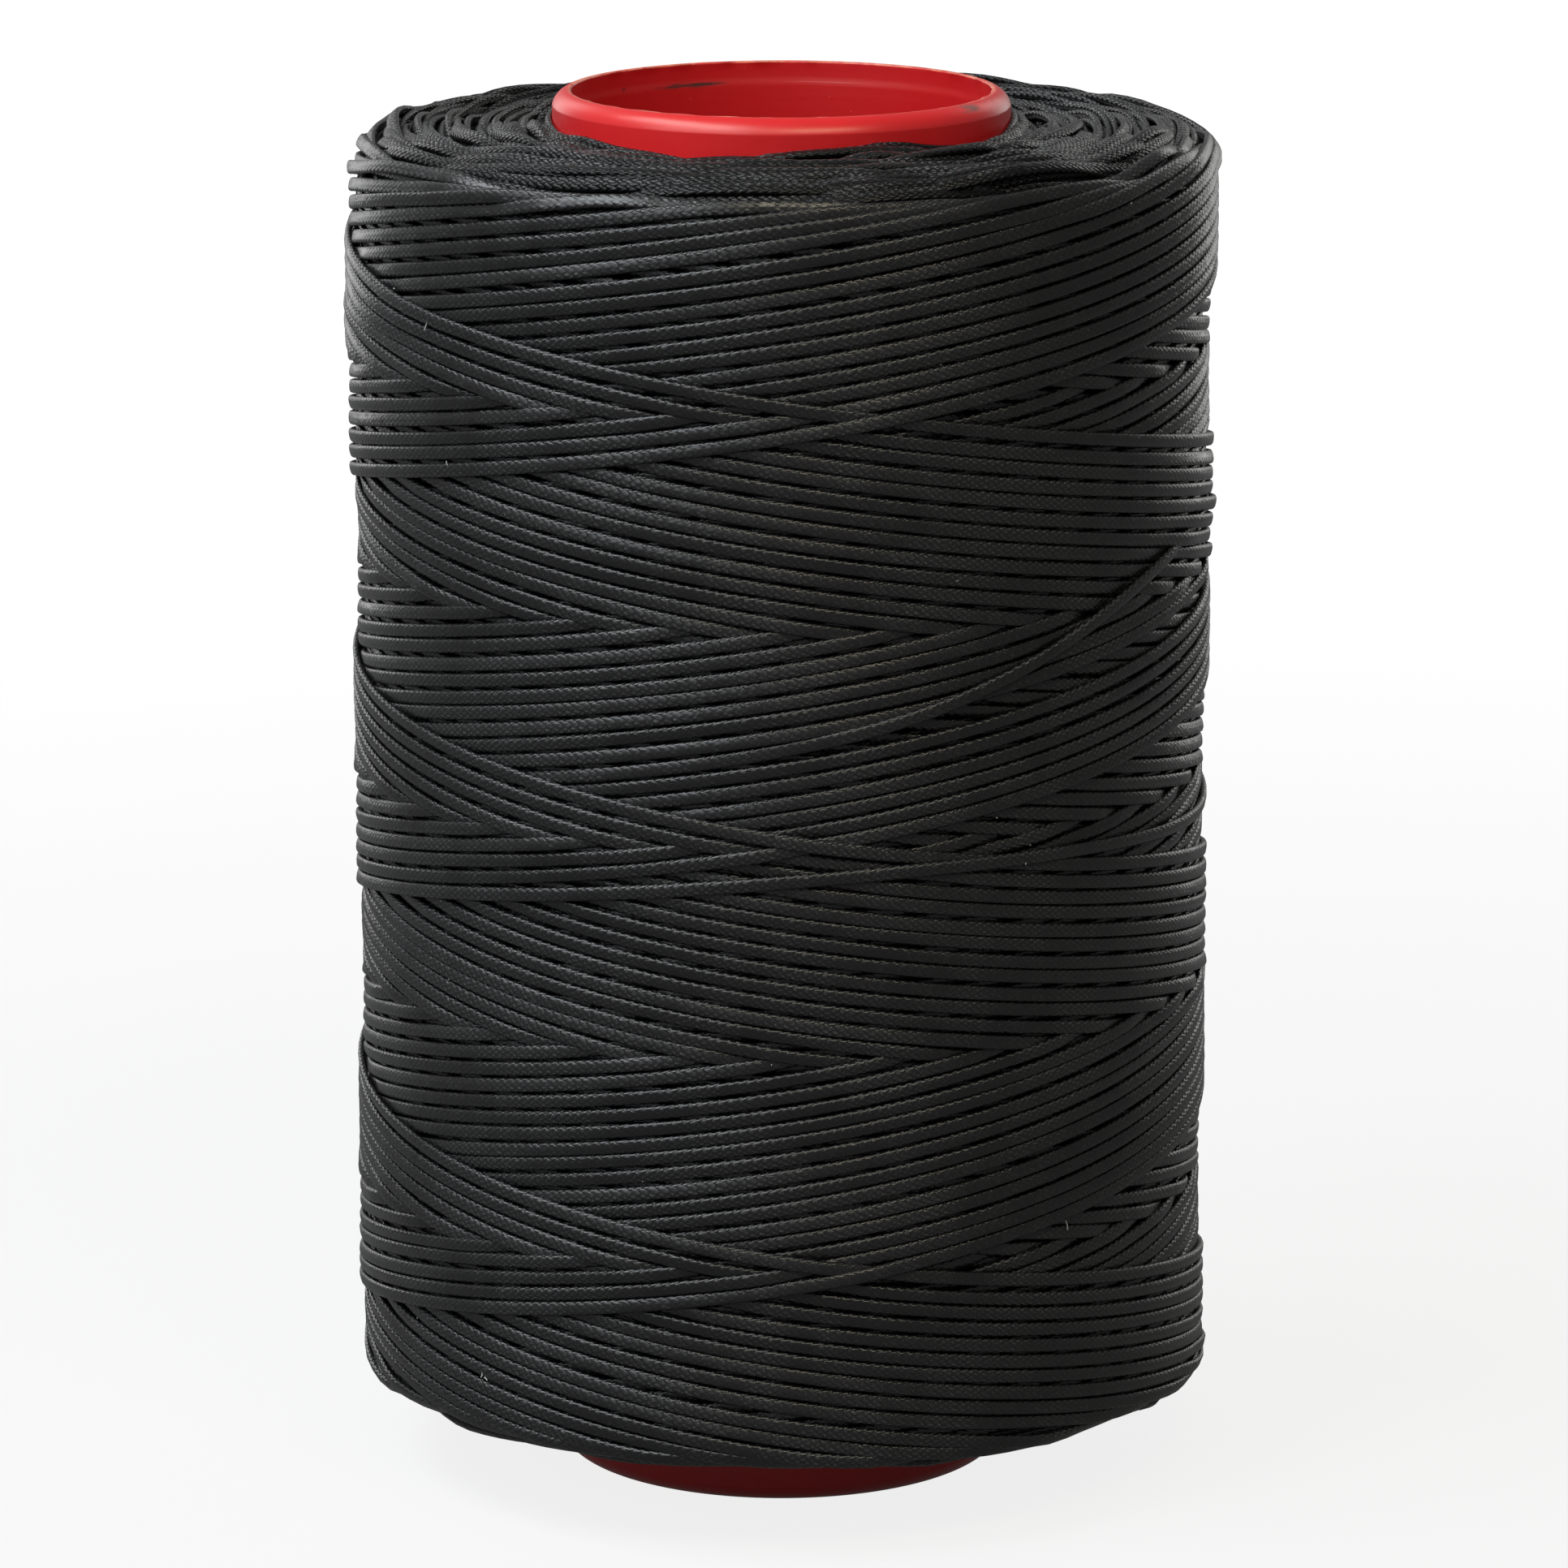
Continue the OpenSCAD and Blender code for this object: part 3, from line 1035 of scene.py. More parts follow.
class LaidWall:
    """Lays the last turns of the wall one after another on what is below them.

    Attributes:
        STEP: Turn between two columns of the surface, in degrees.
        CELL: Distance between two rows of the surface along the outline.
        EVERY: Columns from one station of a strand to the next.
        PAD: Columns that a stroke's course runs on past both its ends.
        MARGIN: Rows that no strand's middle comes to, at both ends of the surface.
        SPARE: Rows of the surface past the end of the outline.
        SIDES: Rows that a strand covers, from its middle.
        SPAN: Half of the span over which a taut strand bridges a dip, in columns.
        BITE: How deep a strand may press into the highest place under it.
    """

    STEP = 0.5
    CELL = 0.15
    EVERY = 7
    PAD = 40
    MARGIN = 8
    SPARE = 40
    SIDES = range(-4, 5)
    SPAN = 13
    BITE = 0.16

    def __init__(self, form: PackageForm, thread: FlatThread, guide: Guide, doubles: int, seed: int) -> None:
        """Prepares the surface under the turns.

        Args:
            form: Shape of the package.
            thread: The thread.
            guide: The guide's motion.
            doubles: Double strokes to lay.
            seed: Seed of the small irregularities.
        """
        self.form, self.thread, self.guide, self.doubles = form, thread, guide, doubles
        self.random = np.random.default_rng(seed)
        self.columns = int(round(360.0 / self.STEP))
        self.cells = int(form.marks[-1] / self.CELL) + self.SPARE
        self.layer = thread.thickness * thread.crushed
        self.surface = self._level()
        self.started = self.surface.copy()
        self.touched = np.zeros(self.surface.shape, bool)

    def _level(self) -> Row:
        """Heights before the first turn, so that the last turns end up level.

        The package grows evenly, so at the end a place is lower the longer ago it
        was last covered. The starting surface is that, less what will be laid.
        """
        guide, form = self.guide, self.form
        turn = np.arange(self.columns)[:, None] * self.STEP
        height = form.upper - form.shoulder + form.marks[1] - np.arange(self.cells)[None, :] * self.CELL
        pitch = guide.lead / 360.0
        apex = guide.low - pitch * guide.reverse / 2.0
        bottom = guide.finish - guide.stroke
        covers = self.doubles / guide.cover
        total = np.zeros((self.columns, self.cells))
        for line in (height - apex - pitch * (turn - bottom), apex - pitch * (turn - bottom) - height):
            share = line % guide.lead / guide.lead
            total -= share + np.floor(covers - share) + 1.0
        return self.layer * total

    def _paths(self) -> list[tuple[Row, Row]]:
        """Course of each stroke, oldest first: degrees before the end, and height.

        The guide never reverses twice at quite the same place, and the strand
        wanders a little in between.
        """
        guide, random = self.guide, self.random
        strokes = 2 * self.doubles
        drift = random.normal(0.0, 0.1, strokes + 1)
        phase = random.uniform(0.0, 2.0 * math.pi, 6)
        slip = [
            (
                guide.stroke * end + random.normal(0.0, 9.0),
                random.uniform(15.0, 34.0),
                random.normal(0.0, 0.3 if end % 2 else 0.62),
            )
            for end in range(strokes + 1)
        ]
        pad = self.PAD * self.STEP
        paths = []
        for stroke in reversed(range(strokes)):
            back = np.arange(guide.stroke * (stroke + 1) + pad, guide.stroke * stroke - pad, -self.STEP)
            back = np.maximum(back, 0.0)
            height = guide.height(back)
            inner = np.clip(back / guide.stroke - stroke, 0.0, 1.0)
            height = height + drift[stroke] * (1.0 - inner) + drift[stroke + 1] * inner
            for part, wave in enumerate(phase):
                height = height + 0.035 * np.sin(np.radians(back) * (0.37 + 0.61 * part) + wave)
            for middle, spread, rise in slip[stroke : stroke + 2]:
                height = height + rise * np.exp(-(((back - middle) / spread) ** 2))
            paths.append((back, height))
        return paths

    def cell(self, turn: Row, run: Row) -> tuple[Row, Row]:
        """Column and row of the surface at places on the package.

        Args:
            turn: Angles round the axis, in degrees.
            run: Distances along the outline.

        Returns:
            Numbers of the columns and of the rows.
        """
        column = np.round((turn % 360.0) / self.STEP).astype(int) % self.columns
        row = np.clip(np.round(run / self.CELL).astype(int), self.MARGIN, self.cells - 1 - self.MARGIN)
        return column, row

    def _wind(self, paths: list[tuple[Row, Row]]) -> list[tuple[Row, Row, Row]]:
        """Lays each path on the surface.

        Args:
            paths: Course of each stroke, oldest first.

        Returns:
            For each stroke: degrees before the end, distance along the outline, level.
        """
        edge = np.array(self.SIDES) * self.CELL / (self.thread.width / 2.0)
        crown = np.clip(1.0 - np.abs(edge) ** 2.6, 0.0, 1.0) ** 0.5
        inner = slice(self.PAD, -self.PAD)
        found = []
        for back, height in paths:
            run = self.form.at_height(height)
            column, row = self.cell(self.guide.finish - back, run)
            below = np.max([self.surface[column, row + side] for side in self.SIDES[1:-1]], axis=0)
            level = smoothed(closed(below, self.SPAN), 9)
            level = smoothed(np.maximum(level, below - self.BITE), 4)
            for side, share in zip(self.SIDES, crown):
                laid = (column[inner], row[inner] + side)
                self.surface[laid] = np.maximum(self.surface[laid], level[inner] + self.layer * share)
                self.touched[laid] = True
            found.append((back[inner], run[inner], level[inner]))
        return found

    def lay(self, parts: int) -> list[Strand]:
        """Lays every stroke, oldest first, after a trial that shows how high they pile up.

        Args:
            parts: Stretches to part the thread into.

        Returns:
            The stretches, oldest first.
        """
        paths = self._paths()
        self._wind(paths)
        piled = np.where(self.touched, self.surface, np.nan)
        some = self.touched.mean(0) > 0.05
        high = np.nanpercentile(piled[:, some], 90.0, axis=0)
        pile = np.interp(np.arange(self.cells), np.flatnonzero(some), high)
        pile = smoothed(pile, int(1.3 / self.CELL))
        self.surface = self.started - pile[None, :]
        self.started = self.surface.copy()
        self.touched[:] = False
        found = self._pressed_in(self._wind(paths))
        thick = -float(np.median(self.started[self.touched]))
        LOG.info("wall laid: %d strokes, %.2f mm thick", len(found), thick)
        strand = self._strand(found)
        doubles = [round(self.doubles * part / parts) for part in range(parts - 1, 0, -1)]
        low_ends = [self.guide.stroke * (2 * double - 1) for double in doubles]
        back = (self.guide.stroke * 2 * self.doubles) - np.arange(len(strand.run)) * self.STEP * self.EVERY
        cuts = [0] + [int(np.argmin(np.abs(back - end))) for end in low_ends] + [len(strand.run) - 1]
        return [strand.part(first, last) for first, last in zip(cuts[:-1], cuts[1:])]

    def _pressed_in(self, found: list[tuple[Row, Row, Row]]) -> list[tuple[Row, Row, Row]]:
        """Presses each stretch in, where turns pile up and where later ones lie over or close beside it.

        Args:
            found: For each stroke: degrees before the end, distance along the outline, level.

        Returns:
            The same, with the levels pressed in.
        """
        low_end = self.form.marks[2]
        highest = self.surface
        for axis, reach in ((1, 5), (0, 2)):
            highest = np.max([np.roll(highest, side, axis) for side in range(-reach, reach + 1)], axis=0)
        pressed = []
        for back, run, level in found:
            top = level + self.layer
            inner = ease((low_end + 1.0 - run) / 5.0)
            sunk = inner * np.clip(highest[self.cell(self.guide.finish - back, run)] - top - 0.15, 0.0, 0.9)
            piled = np.maximum(top - np.where(run > low_end - 2.5, 0.1, 0.4), 0.0)
            pressed.append((back, run, level - smoothed(0.75 * sunk + 0.7 * piled, 6)))
        return pressed

    def _strand(self, found: list[tuple[Row, Row, Row]]) -> Strand:
        """Turns the laid strokes into one strand, buried at its start and tucked in at its end."""
        back = np.concatenate([part[0] for part in found])
        run = np.concatenate([part[1] for part in found])
        level = np.concatenate([part[2] for part in found])
        tuck = ease((26.0 - back) / 22.0)
        lead_in = ease((back - back[0] + 55.0) / 50.0)
        buried = 1.6 * (tuck + lead_in)
        depth = buried - level - self.thread.thickness / 2.0 + (self.thread.thickness - self.layer) / 2.0
        run = run - 2.2 * tuck
        pick = np.append(np.arange(0, len(back) - 1, self.EVERY), len(back) - 1)
        radius, height = self.form.place(run[pick], depth[pick])
        girth = 1.0 + 0.03 * np.sin(back[pick] * 0.083) + self.random.normal(0.0, 0.012, len(pick))
        slant = self.form.slant(run[pick])
        roll = 0.2 * np.sin(back[pick] * 0.031 + 2.0 * np.sin(back[pick] * 0.0047))
        return Strand.through(self.guide.finish - back[pick], radius, height, slant * 0.8 + roll, 0.0, girth)


@dataclass(frozen=True)
class Swell:
    """A place where the end face stands higher or lower beside the tube.

    Attributes:
        turn: Where it is round the axis, in degrees.
        spread: How far it reaches to each side, in degrees.
        rise: How much higher it is, in millimetres.
        reach: How far it reaches from the tube, in millimetres.
    """

    turn: float
    spread: float
    rise: float
    reach: float = 3.0


@dataclass
class EndRings:
    """Lapped reversal loops of the buried layers, which make up an end face.

    Each ring holds one layer's loops. A loop stands on edge, leans in over the
    ring before it, and dives at both ends: outside the loop that was laid before
    it, inside the one that came after.

    Attributes:
        wall: The laid wall, whose own reversals come last.
        face: Which end face.
        seed: Seed of the irregularities.
        swells: Places that stand higher or lower beside the tube.
        strays: Loops that slipped and lie across the others.
        proud: How far a ring may stand out of the outline, in millimetres.
        spacing: Distance from one station of a loop to the next, in millimetres.
    """

    wall: LaidWall
    face: Face
    seed: int
    swells: tuple[Swell, ...] = ()
    strays: int = 20
    proud: float = 3.0
    spacing: float = 2.1

    def __post_init__(self) -> None:
        """Sets up the random numbers and the depth at which the rings lie."""
        self.random = np.random.default_rng(self.seed)
        self.waves = [
            (wave, self.random.uniform(0.0, 6.28), self.random.uniform(0.05, 0.14), 0.21)
            for wave in (2, 3, 5, 8, 13)
        ]
        self.waves += [
            (wave, self.random.uniform(0.0, 6.28), self.random.uniform(0.16, 0.26), slope)
            for wave, slope in ((2, 1.3), (5, 1.9), (4, -1.6), (7, 2.4))
        ]
        form = self.wall.form
        face, over, low_wall, under, end = form.marks
        self.end = end
        self.upper = self.face is Face.UPPER
        self.flat = face if self.upper else end - under
        self.corner = over - face if self.upper else under - low_wall
        cells = np.arange(int((self.flat + self.corner + 3.0) / self.wall.CELL))
        pick = cells if self.upper else np.clip(int(end / self.wall.CELL) - cells, 0, self.wall.cells - 1)
        covered = self.wall.touched[:, pick].mean(0)
        self.bed_run = cells * self.wall.CELL
        self.bed = smoothed(-self.wall.started[:, pick].mean(0) * ease(covered / 0.7), 5)
        self.limit = float(self.bed_run[np.argmax(covered > 0.75)]) + 1.2

    def base(self, turn: Row, along: Row) -> Row:
        """Depth at which the rings' highest edges lie.

        Args:
            turn: Angles round the axis, in degrees.
            along: Distances from the tube.

        Returns:
            Depths below the outline.
        """
        depth = np.interp(along, self.bed_run, self.bed)
        for wave, phase, size, slope in self.waves:
            depth = depth + size * np.sin(np.radians(turn) * wave + phase + along * slope)
        for swell in self.swells:
            aside = (turn - swell.turn + 180.0) % 360.0 - 180.0
            depth = depth - swell.rise * np.exp(-((aside / swell.spread) ** 2) - (along / swell.reach) ** 2)
        return depth

    def strand(self, middle: float, angle: Row, along: Row, fall: Row, tilt: Row) -> Strand:
        """Makes one loop.

        Args:
            middle: Angle round the axis of its highest place.
            angle: Angles from there.
            along: Distances from the tube.
            fall: How far it lies below the ring's highest edge.
            tilt: Angle of its flat side above the horizontal.

        Returns:
            The loop.
        """
        thread, form = self.wall.thread, self.wall.form
        half_w, half_t = thread.width / 2.0, thread.thickness / 2.0
        place = along if self.upper else self.end - along
        off = np.abs(form.slant(place)) - tilt
        tall = half_w * np.abs(np.sin(off)) + half_t * np.abs(np.cos(off))
        depth = np.maximum(self.base(middle + angle, along), -self.proud) + tall + fall
        radius, height = form.place(place, depth)
        radius = np.maximum(radius, form.tube + half_w * np.sin(tilt) + half_t * np.cos(tilt) * 0.8)
        girth = 1.0 + self.random.normal(0.0, 0.02, len(angle))
        start = float(self.random.uniform(0.0, 100.0))
        return Strand.through(middle + angle, radius, height, tilt if self.upper else -tilt, start, girth)

    def stations(self, along: float, half: float) -> Row:
        """Angles of a loop's stations.

        Args:
            along: Distance of the loop from the tube.
            half: Angle from its middle to its ends, in degrees.

        Returns:
            The angles from its middle.
        """
        length = 2.0 * half * math.radians(along + self.wall.form.tube)
        return np.linspace(-half, half, int(length / self.spacing) + 2)

    def lay(self) -> list[Strand]:
        """Lays the rings from the tube outwards, and the strays across them.

        Returns:
            The loops.
        """
        random, form, guide = self.random, self.wall.form, self.wall.guide
        strands = []
        pitch = guide.lead / 360.0
        for loop in range(6):
            half = random.uniform(44.0, 56.0)
            angle = np.linspace(-half, half, 20)
            across = 0.42 + 0.5 * (angle / half) ** 2 * random.uniform(0.2, 1.0)
            fall = 1.7 * np.abs(angle / half) ** 3.5 + random.uniform(-0.1, 0.15)
            middle = 60.0 * loop + random.normal(0.0, 6.0)
            tilt = 0.12 + 0.1 * random.uniform(0.0, 1.0) * np.ones(len(angle))
            strands.append(self.strand(middle, angle, across, fall, tilt))
        along = 0.9
        rings = 0
        while along < self.limit:
            slant = abs(float(form.slant(np.array(along if self.upper else self.end - along))))
            share = random.uniform(0.36, 0.66) if along < self.flat else random.uniform(0.5, 0.8)
            gap = 360.0 / round(guide.cover * random.uniform(0.58, 0.84))
            phase = random.uniform(0.0, 360.0)
            for loop in range(round(360.0 / gap)):
                middle = phase + loop * gap + random.normal(0.0, 3.2)
                half = gap * random.uniform(1.25, 1.9) + 3.0
                angle = self.stations(along, half)
                travel = np.abs(angle) * (1.0 + random.normal(0.0, 0.12) * np.sign(angle))
                soft = random.uniform(14.0, 26.0)
                fall = pitch * np.where(travel < soft, travel**2 / (2.0 * soft), travel - soft / 2.0)
                bell = np.exp(-((angle / (0.8 * half)) ** 2))
                tilt = (slant * share + random.normal(0.0, 0.2)) * (0.35 + 0.65 * bell)
                across = along + random.normal(0.0, 0.13) - 0.36 * np.tanh(angle / (0.5 * gap))
                fall = fall + random.uniform(-0.08, 0.62)
                strands.append(self.strand(middle, angle, np.maximum(across, 0.36), fall, tilt))
            rings += 1
            along += min(max(2.0 * self.wall.layer / math.sin(slant * (1.0 - share) + 0.35), 1.0), 1.4)
        for _ in range(self.strays):
            half = random.uniform(20.0, 40.0)
            place = random.uniform(1.5, self.limit - 1.0)
            angle = self.stations(place, half)
            across = place + random.uniform(-1.9, 1.9) * angle / half + 0.5 * (1.0 - (angle / half) ** 2)
            fall = 2.6 * np.abs(angle / half) ** 2.6 - 0.15
            slant = np.abs(form.slant(across if self.upper else self.end - across))
            tilt = slant * (0.45 + 0.45 * np.exp(-((angle / (0.6 * half)) ** 2)))
            middle = random.uniform(0.0, 360.0)
            strands.append(self.strand(middle, angle, np.maximum(across, 0.5), fall, tilt))
        LOG.info("%s face: %d loops in %d rings", self.face.name.lower(), len(strands), rings)
        return strands


@dataclass(frozen=True)
class Speck:
    """A speck or a fibre that the wax holds.

    Attributes:
        turn: Where it is round the axis, in degrees.
        height: Where it is up the wall, in millimetres.
        length: Its length, in millimetres.
        girth: Its thickness, as a share of the lint's size.
        slant: Its direction, in degrees above the horizontal.
    """

    turn: float
    height: float
    length: float
    girth: float
    slant: float = 0.0


@dataclass
class CaughtLint:
    """Pale specks and fibres that the waxed wall has picked up.

    Attributes:
        wall: The laid wall.
        size: Thickness of the lint, in millimetres.
        specks: The ones that stand out.
        few: How many small ones are strewn over the wall.
        seed: Seed of the small ones.
        finish: Its finish.
    """

    wall: LaidWall
    size: float = 0.12
    specks: tuple[Speck, ...] = (
        Speck(293.1, 95.3, 0.30, 2.6, 20.0),
        Speck(209.4, 120.0, 0.16, 2.0),
        Speck(320.1, 129.1, 0.16, 2.2, 40.0),
        Speck(303.9, 68.1, 0.18, 2.2),
        Speck(304.8, 68.9, 0.10, 1.5),
        Speck(303.2, 67.4, 0.12, 1.3, 60.0),
        Speck(299.5, 72.0, 0.14, 1.7),
        Speck(238.0, 131.2, 0.14, 1.8),
        Speck(226.2, 15.5, 0.60, 1.3, 75.0),
        Speck(226.9, 15.2, 0.45, 0.9, -30.0),
        Speck(218.4, 117.4, 1.10, 0.3, 62.0),
        Speck(222.0, 104.2, 1.20, 0.28, -55.0),
    )
    few: int = 60
    seed: int = 21
    finish: PaleLint = PaleLint()

    def lay(self) -> list[Strand]:
        """Lays every speck and fibre on the turns that show.

        Returns:
            One short strand for each.
        """
        random = np.random.default_rng(self.seed)
        specks = list(self.specks)
        for _ in range(self.few):
            fibre = random.uniform() < 0.15
            length = random.uniform(0.6, 1.4) if fibre else random.uniform(0.04, 0.12)
            girth = random.uniform(0.13, 0.2) if fibre else random.uniform(0.5, 1.2)
            turn, height = random.uniform(0.0, 360.0), random.uniform(12.0, 127.0)
            specks.append(Speck(turn, height, length, girth, random.uniform(-80.0, 80.0)))
        return [self.strand(speck, random) for speck in specks]

    def strand(self, speck: Speck, random: np.random.Generator) -> Strand:
        """Makes one speck, a little bent, lying on the highest turn under it."""
        wall, form = self.wall, self.wall.form
        place = np.linspace(-0.5, 0.5, 7)
        bend = random.uniform(-0.9, 0.9) * (place**2 - 0.1) * speck.length
        side, rise = math.cos(math.radians(speck.slant)), math.sin(math.radians(speck.slant))
        aside = speck.length * place * side - bend * rise
        height = speck.height + speck.length * place * rise + bend * side
        turn = speck.turn + np.degrees(aside / form.radius)
        run = form.at_height(height)
        column, row = wall.cell(turn, run)
        top = np.max([wall.surface[column, row + offset] for offset in (-1, 0, 1)])
        lift = 0.3 * self.size * speck.girth - 0.04 + 0.25 * speck.length * np.abs(place) ** 3
        radius, level = form.place(run, -top - lift)
        girth = speck.girth * (1.0 - 0.6 * np.abs(2.0 * place) ** 3)
        return Strand.through(turn, radius, level, np.zeros(7), 0.0, girth)


@dataclass
class WoundThread:
    """The wound thread: the turns that show, and the buried body under them.

    Attributes:
        form: Shape of the package.
        thread: The thread.
        guide: The guide's motion.
        doubles: Double strokes that are laid turn by turn.
        sides: Sides of a strand's section.
        bed: Depth of the buried body under the wall.
        face_beds: Depth of the buried body under the upper and the lower face.
        swells: Places where the upper face stands higher or lower beside the tube.
        finish: Finish of the turns on the wall.
        loops: Finish of the loops on the end faces, where the rubbing put in less wax; its darker crown is
            painted shade, its brighter streaks are in part painted glints, and their lapped sides carry
            painted shade.
        buried: Finish of the buried body.
    """

    form: PackageForm = PackageForm()
    thread: FlatThread = FlatThread()
    guide: Guide = Guide()
    doubles: int = 36
    sides: int = 12
    bed: float = 2.2
    face_beds: tuple[float, float] = (1.75, 1.15)
    swells: tuple[Swell, ...] = (Swell(297.0, 12.0, 0.8), Swell(250.0, 15.0, -0.7), Swell(330.0, 14.0, -0.2))
    finish: WaxedBraid = WaxedBraid()
    # Loop finish: crown darker than on the wall as painted shade, brighter streaks as painted glints, painted
    # shade on the lapped sides.
    loops: WaxedBraid = WaxedBraid(
        "waxed_black_braid_loops",
        crown=srgb(19, 19, 20),
        wear_and_glint=srgb(124, 125, 128),
        relief=0.085,
        open_flat=1.0,
        shine=0.27,
        unshaded_edge=-1.0,
    )
    buried: BuriedThread = BuriedThread()

    def build(self) -> list[bpy.types.Object]:
        """Lays the thread and makes its pieces.

        Returns:
            Every piece, seated on the root body.
        """
        tree = SweepTree()
        material = self.finish.material()
        lower_loops = replace(self.loops, name=self.loops.name + "_lower", unshaded_edge=-self.loops.unshaded_edge)
        lapped = {"upper": self.loops.material(), "lower": lower_loops.material()}
        wall = LaidWall(self.form, self.thread, self.guide, self.doubles, 11)
        turns = wall.lay(4)
        upper = EndRings(wall, Face.UPPER, 5, self.swells).lay()
        lower = EndRings(wall, Face.LOWER, 8, proud=0.1).lay()
        pieces = []
        groups = [(f"wall_turns_{part + 1}", [strand]) for part, strand in enumerate(turns)]
        half = (len(upper) + 1) // 2
        groups += [("upper_face_loops_outer", upper[:half]), ("upper_face_loops_inner", upper[half:])]
        half = (len(lower) + 1) // 2
        groups += [("lower_face_loops_outer", lower[:half]), ("lower_face_loops_inner", lower[half:])]
        section = (self.thread.width, self.thread.thickness, self.sides, self.thread.squareness)
        for name, strands in groups:
            piece = self.sweep(tree, name, strands, lapped.get(name[:5], material), section)
            pieces.append(self.dress(piece))
        lint = CaughtLint(wall)
        section = (lint.size, lint.size * 0.8, 6, 1.0)
        piece = self.sweep(tree, "caught_lint", lint.lay(), lint.finish.material(), section)
        pieces.append(self.dress(piece))
        pieces.append(self.dress(self.buried_body()))
        return pieces

    def sweep(
        self,
        tree: SweepTree,
        name: str,
        strands: list[Strand],
        material: bpy.types.Material,
        size: tuple[float, float, int, float],
    ) -> bpy.types.Object:
        """Sweeps a section along strands.

        Args:
            tree: The sweeping tree.
            name: Name of the piece.
            strands: The strands.
            material: Their finish.
            size: Width, thickness, sides and squareness of the section.

        Returns:
            The piece as a plain mesh.
        """
        mesh = bpy.data.meshes.new(name + "_lines")
        sizes = [len(strand.run) for strand in strands]
        points = np.concatenate([strand.middle for strand in strands]) * MM
        starts = np.cumsum([0] + sizes)
        spans = zip(starts[:-1], starts[1:])
        pairs = [np.stack([np.arange(a, b - 1), np.arange(a + 1, b)], axis=-1) for a, b in spans]
        edges = np.concatenate(pairs)
        mesh.vertices.add(len(points))
        mesh.vertices.foreach_set("co", points.astype(np.float32).ravel())
        mesh.edges.add(len(edges))
        mesh.edges.foreach_set("vertices", edges.astype(np.int32).ravel())
        outward = mesh.attributes.new("outward", "FLOAT_VECTOR", "POINT")
        facing = np.concatenate([strand.outward for strand in strands])
        outward.data.foreach_set("vector", facing.astype(np.float32).ravel())
        for label in ("run", "girth"):
            values = np.concatenate([getattr(strand, label) for strand in strands])
            mesh.attributes.new(label, "FLOAT", "POINT").data.foreach_set("value", values.astype(np.float32))
        mesh.update()
        lines = linked(name + "_lines", mesh)
        values = {
            tree.sockets["Thread Width"]: size[0] * MM,
            tree.sockets["Thread Thickness"]: size[1] * MM,
            tree.sockets["Section Sides"]: size[2],
            tree.sockets["Section Squareness"]: size[3],
            tree.sockets["Finish"]: material,
        }
        piece = evaluated(lines, tree.tree, values, name)
        LOG.info("%s: %d strands, %d faces", name, len(strands), len(piece.data.polygons))
        return piece

    def buried_body(self) -> bpy.types.Object:
        """Makes the body under the turns that show, as one closed ring round the tube."""
        face, over, wall, under, end = self.form.marks
        run = np.concatenate([np.linspace(0.0, wall, 90), np.linspace(wall, end, 30)[1:]])
        inward = ease((run - face) / (over - face)) * ease((under - run) / (under - wall + 4.0))
        beside = 0.6 * ease((3.5 - run) / 2.0)
        shallow = np.where(run < over, *self.face_beds)
        radius, height = self.form.place(run, shallow - beside + (self.bed - shallow) * inward)
        inner = self.form.tube + 0.06
        radius = np.maximum(radius, inner)
        profile = np.stack([radius, height], axis=-1)[::-1]
        points, faces = revolved(profile, 144)
        return mesh_object("buried_turns", points, faces, self.buried.material())

    def dress(self, piece: bpy.types.Object) -> bpy.types.Object:
        """Seats a piece."""
        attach(piece, "root")
        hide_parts(Node.CORE.value, Node.TURNS.value)
        return piece


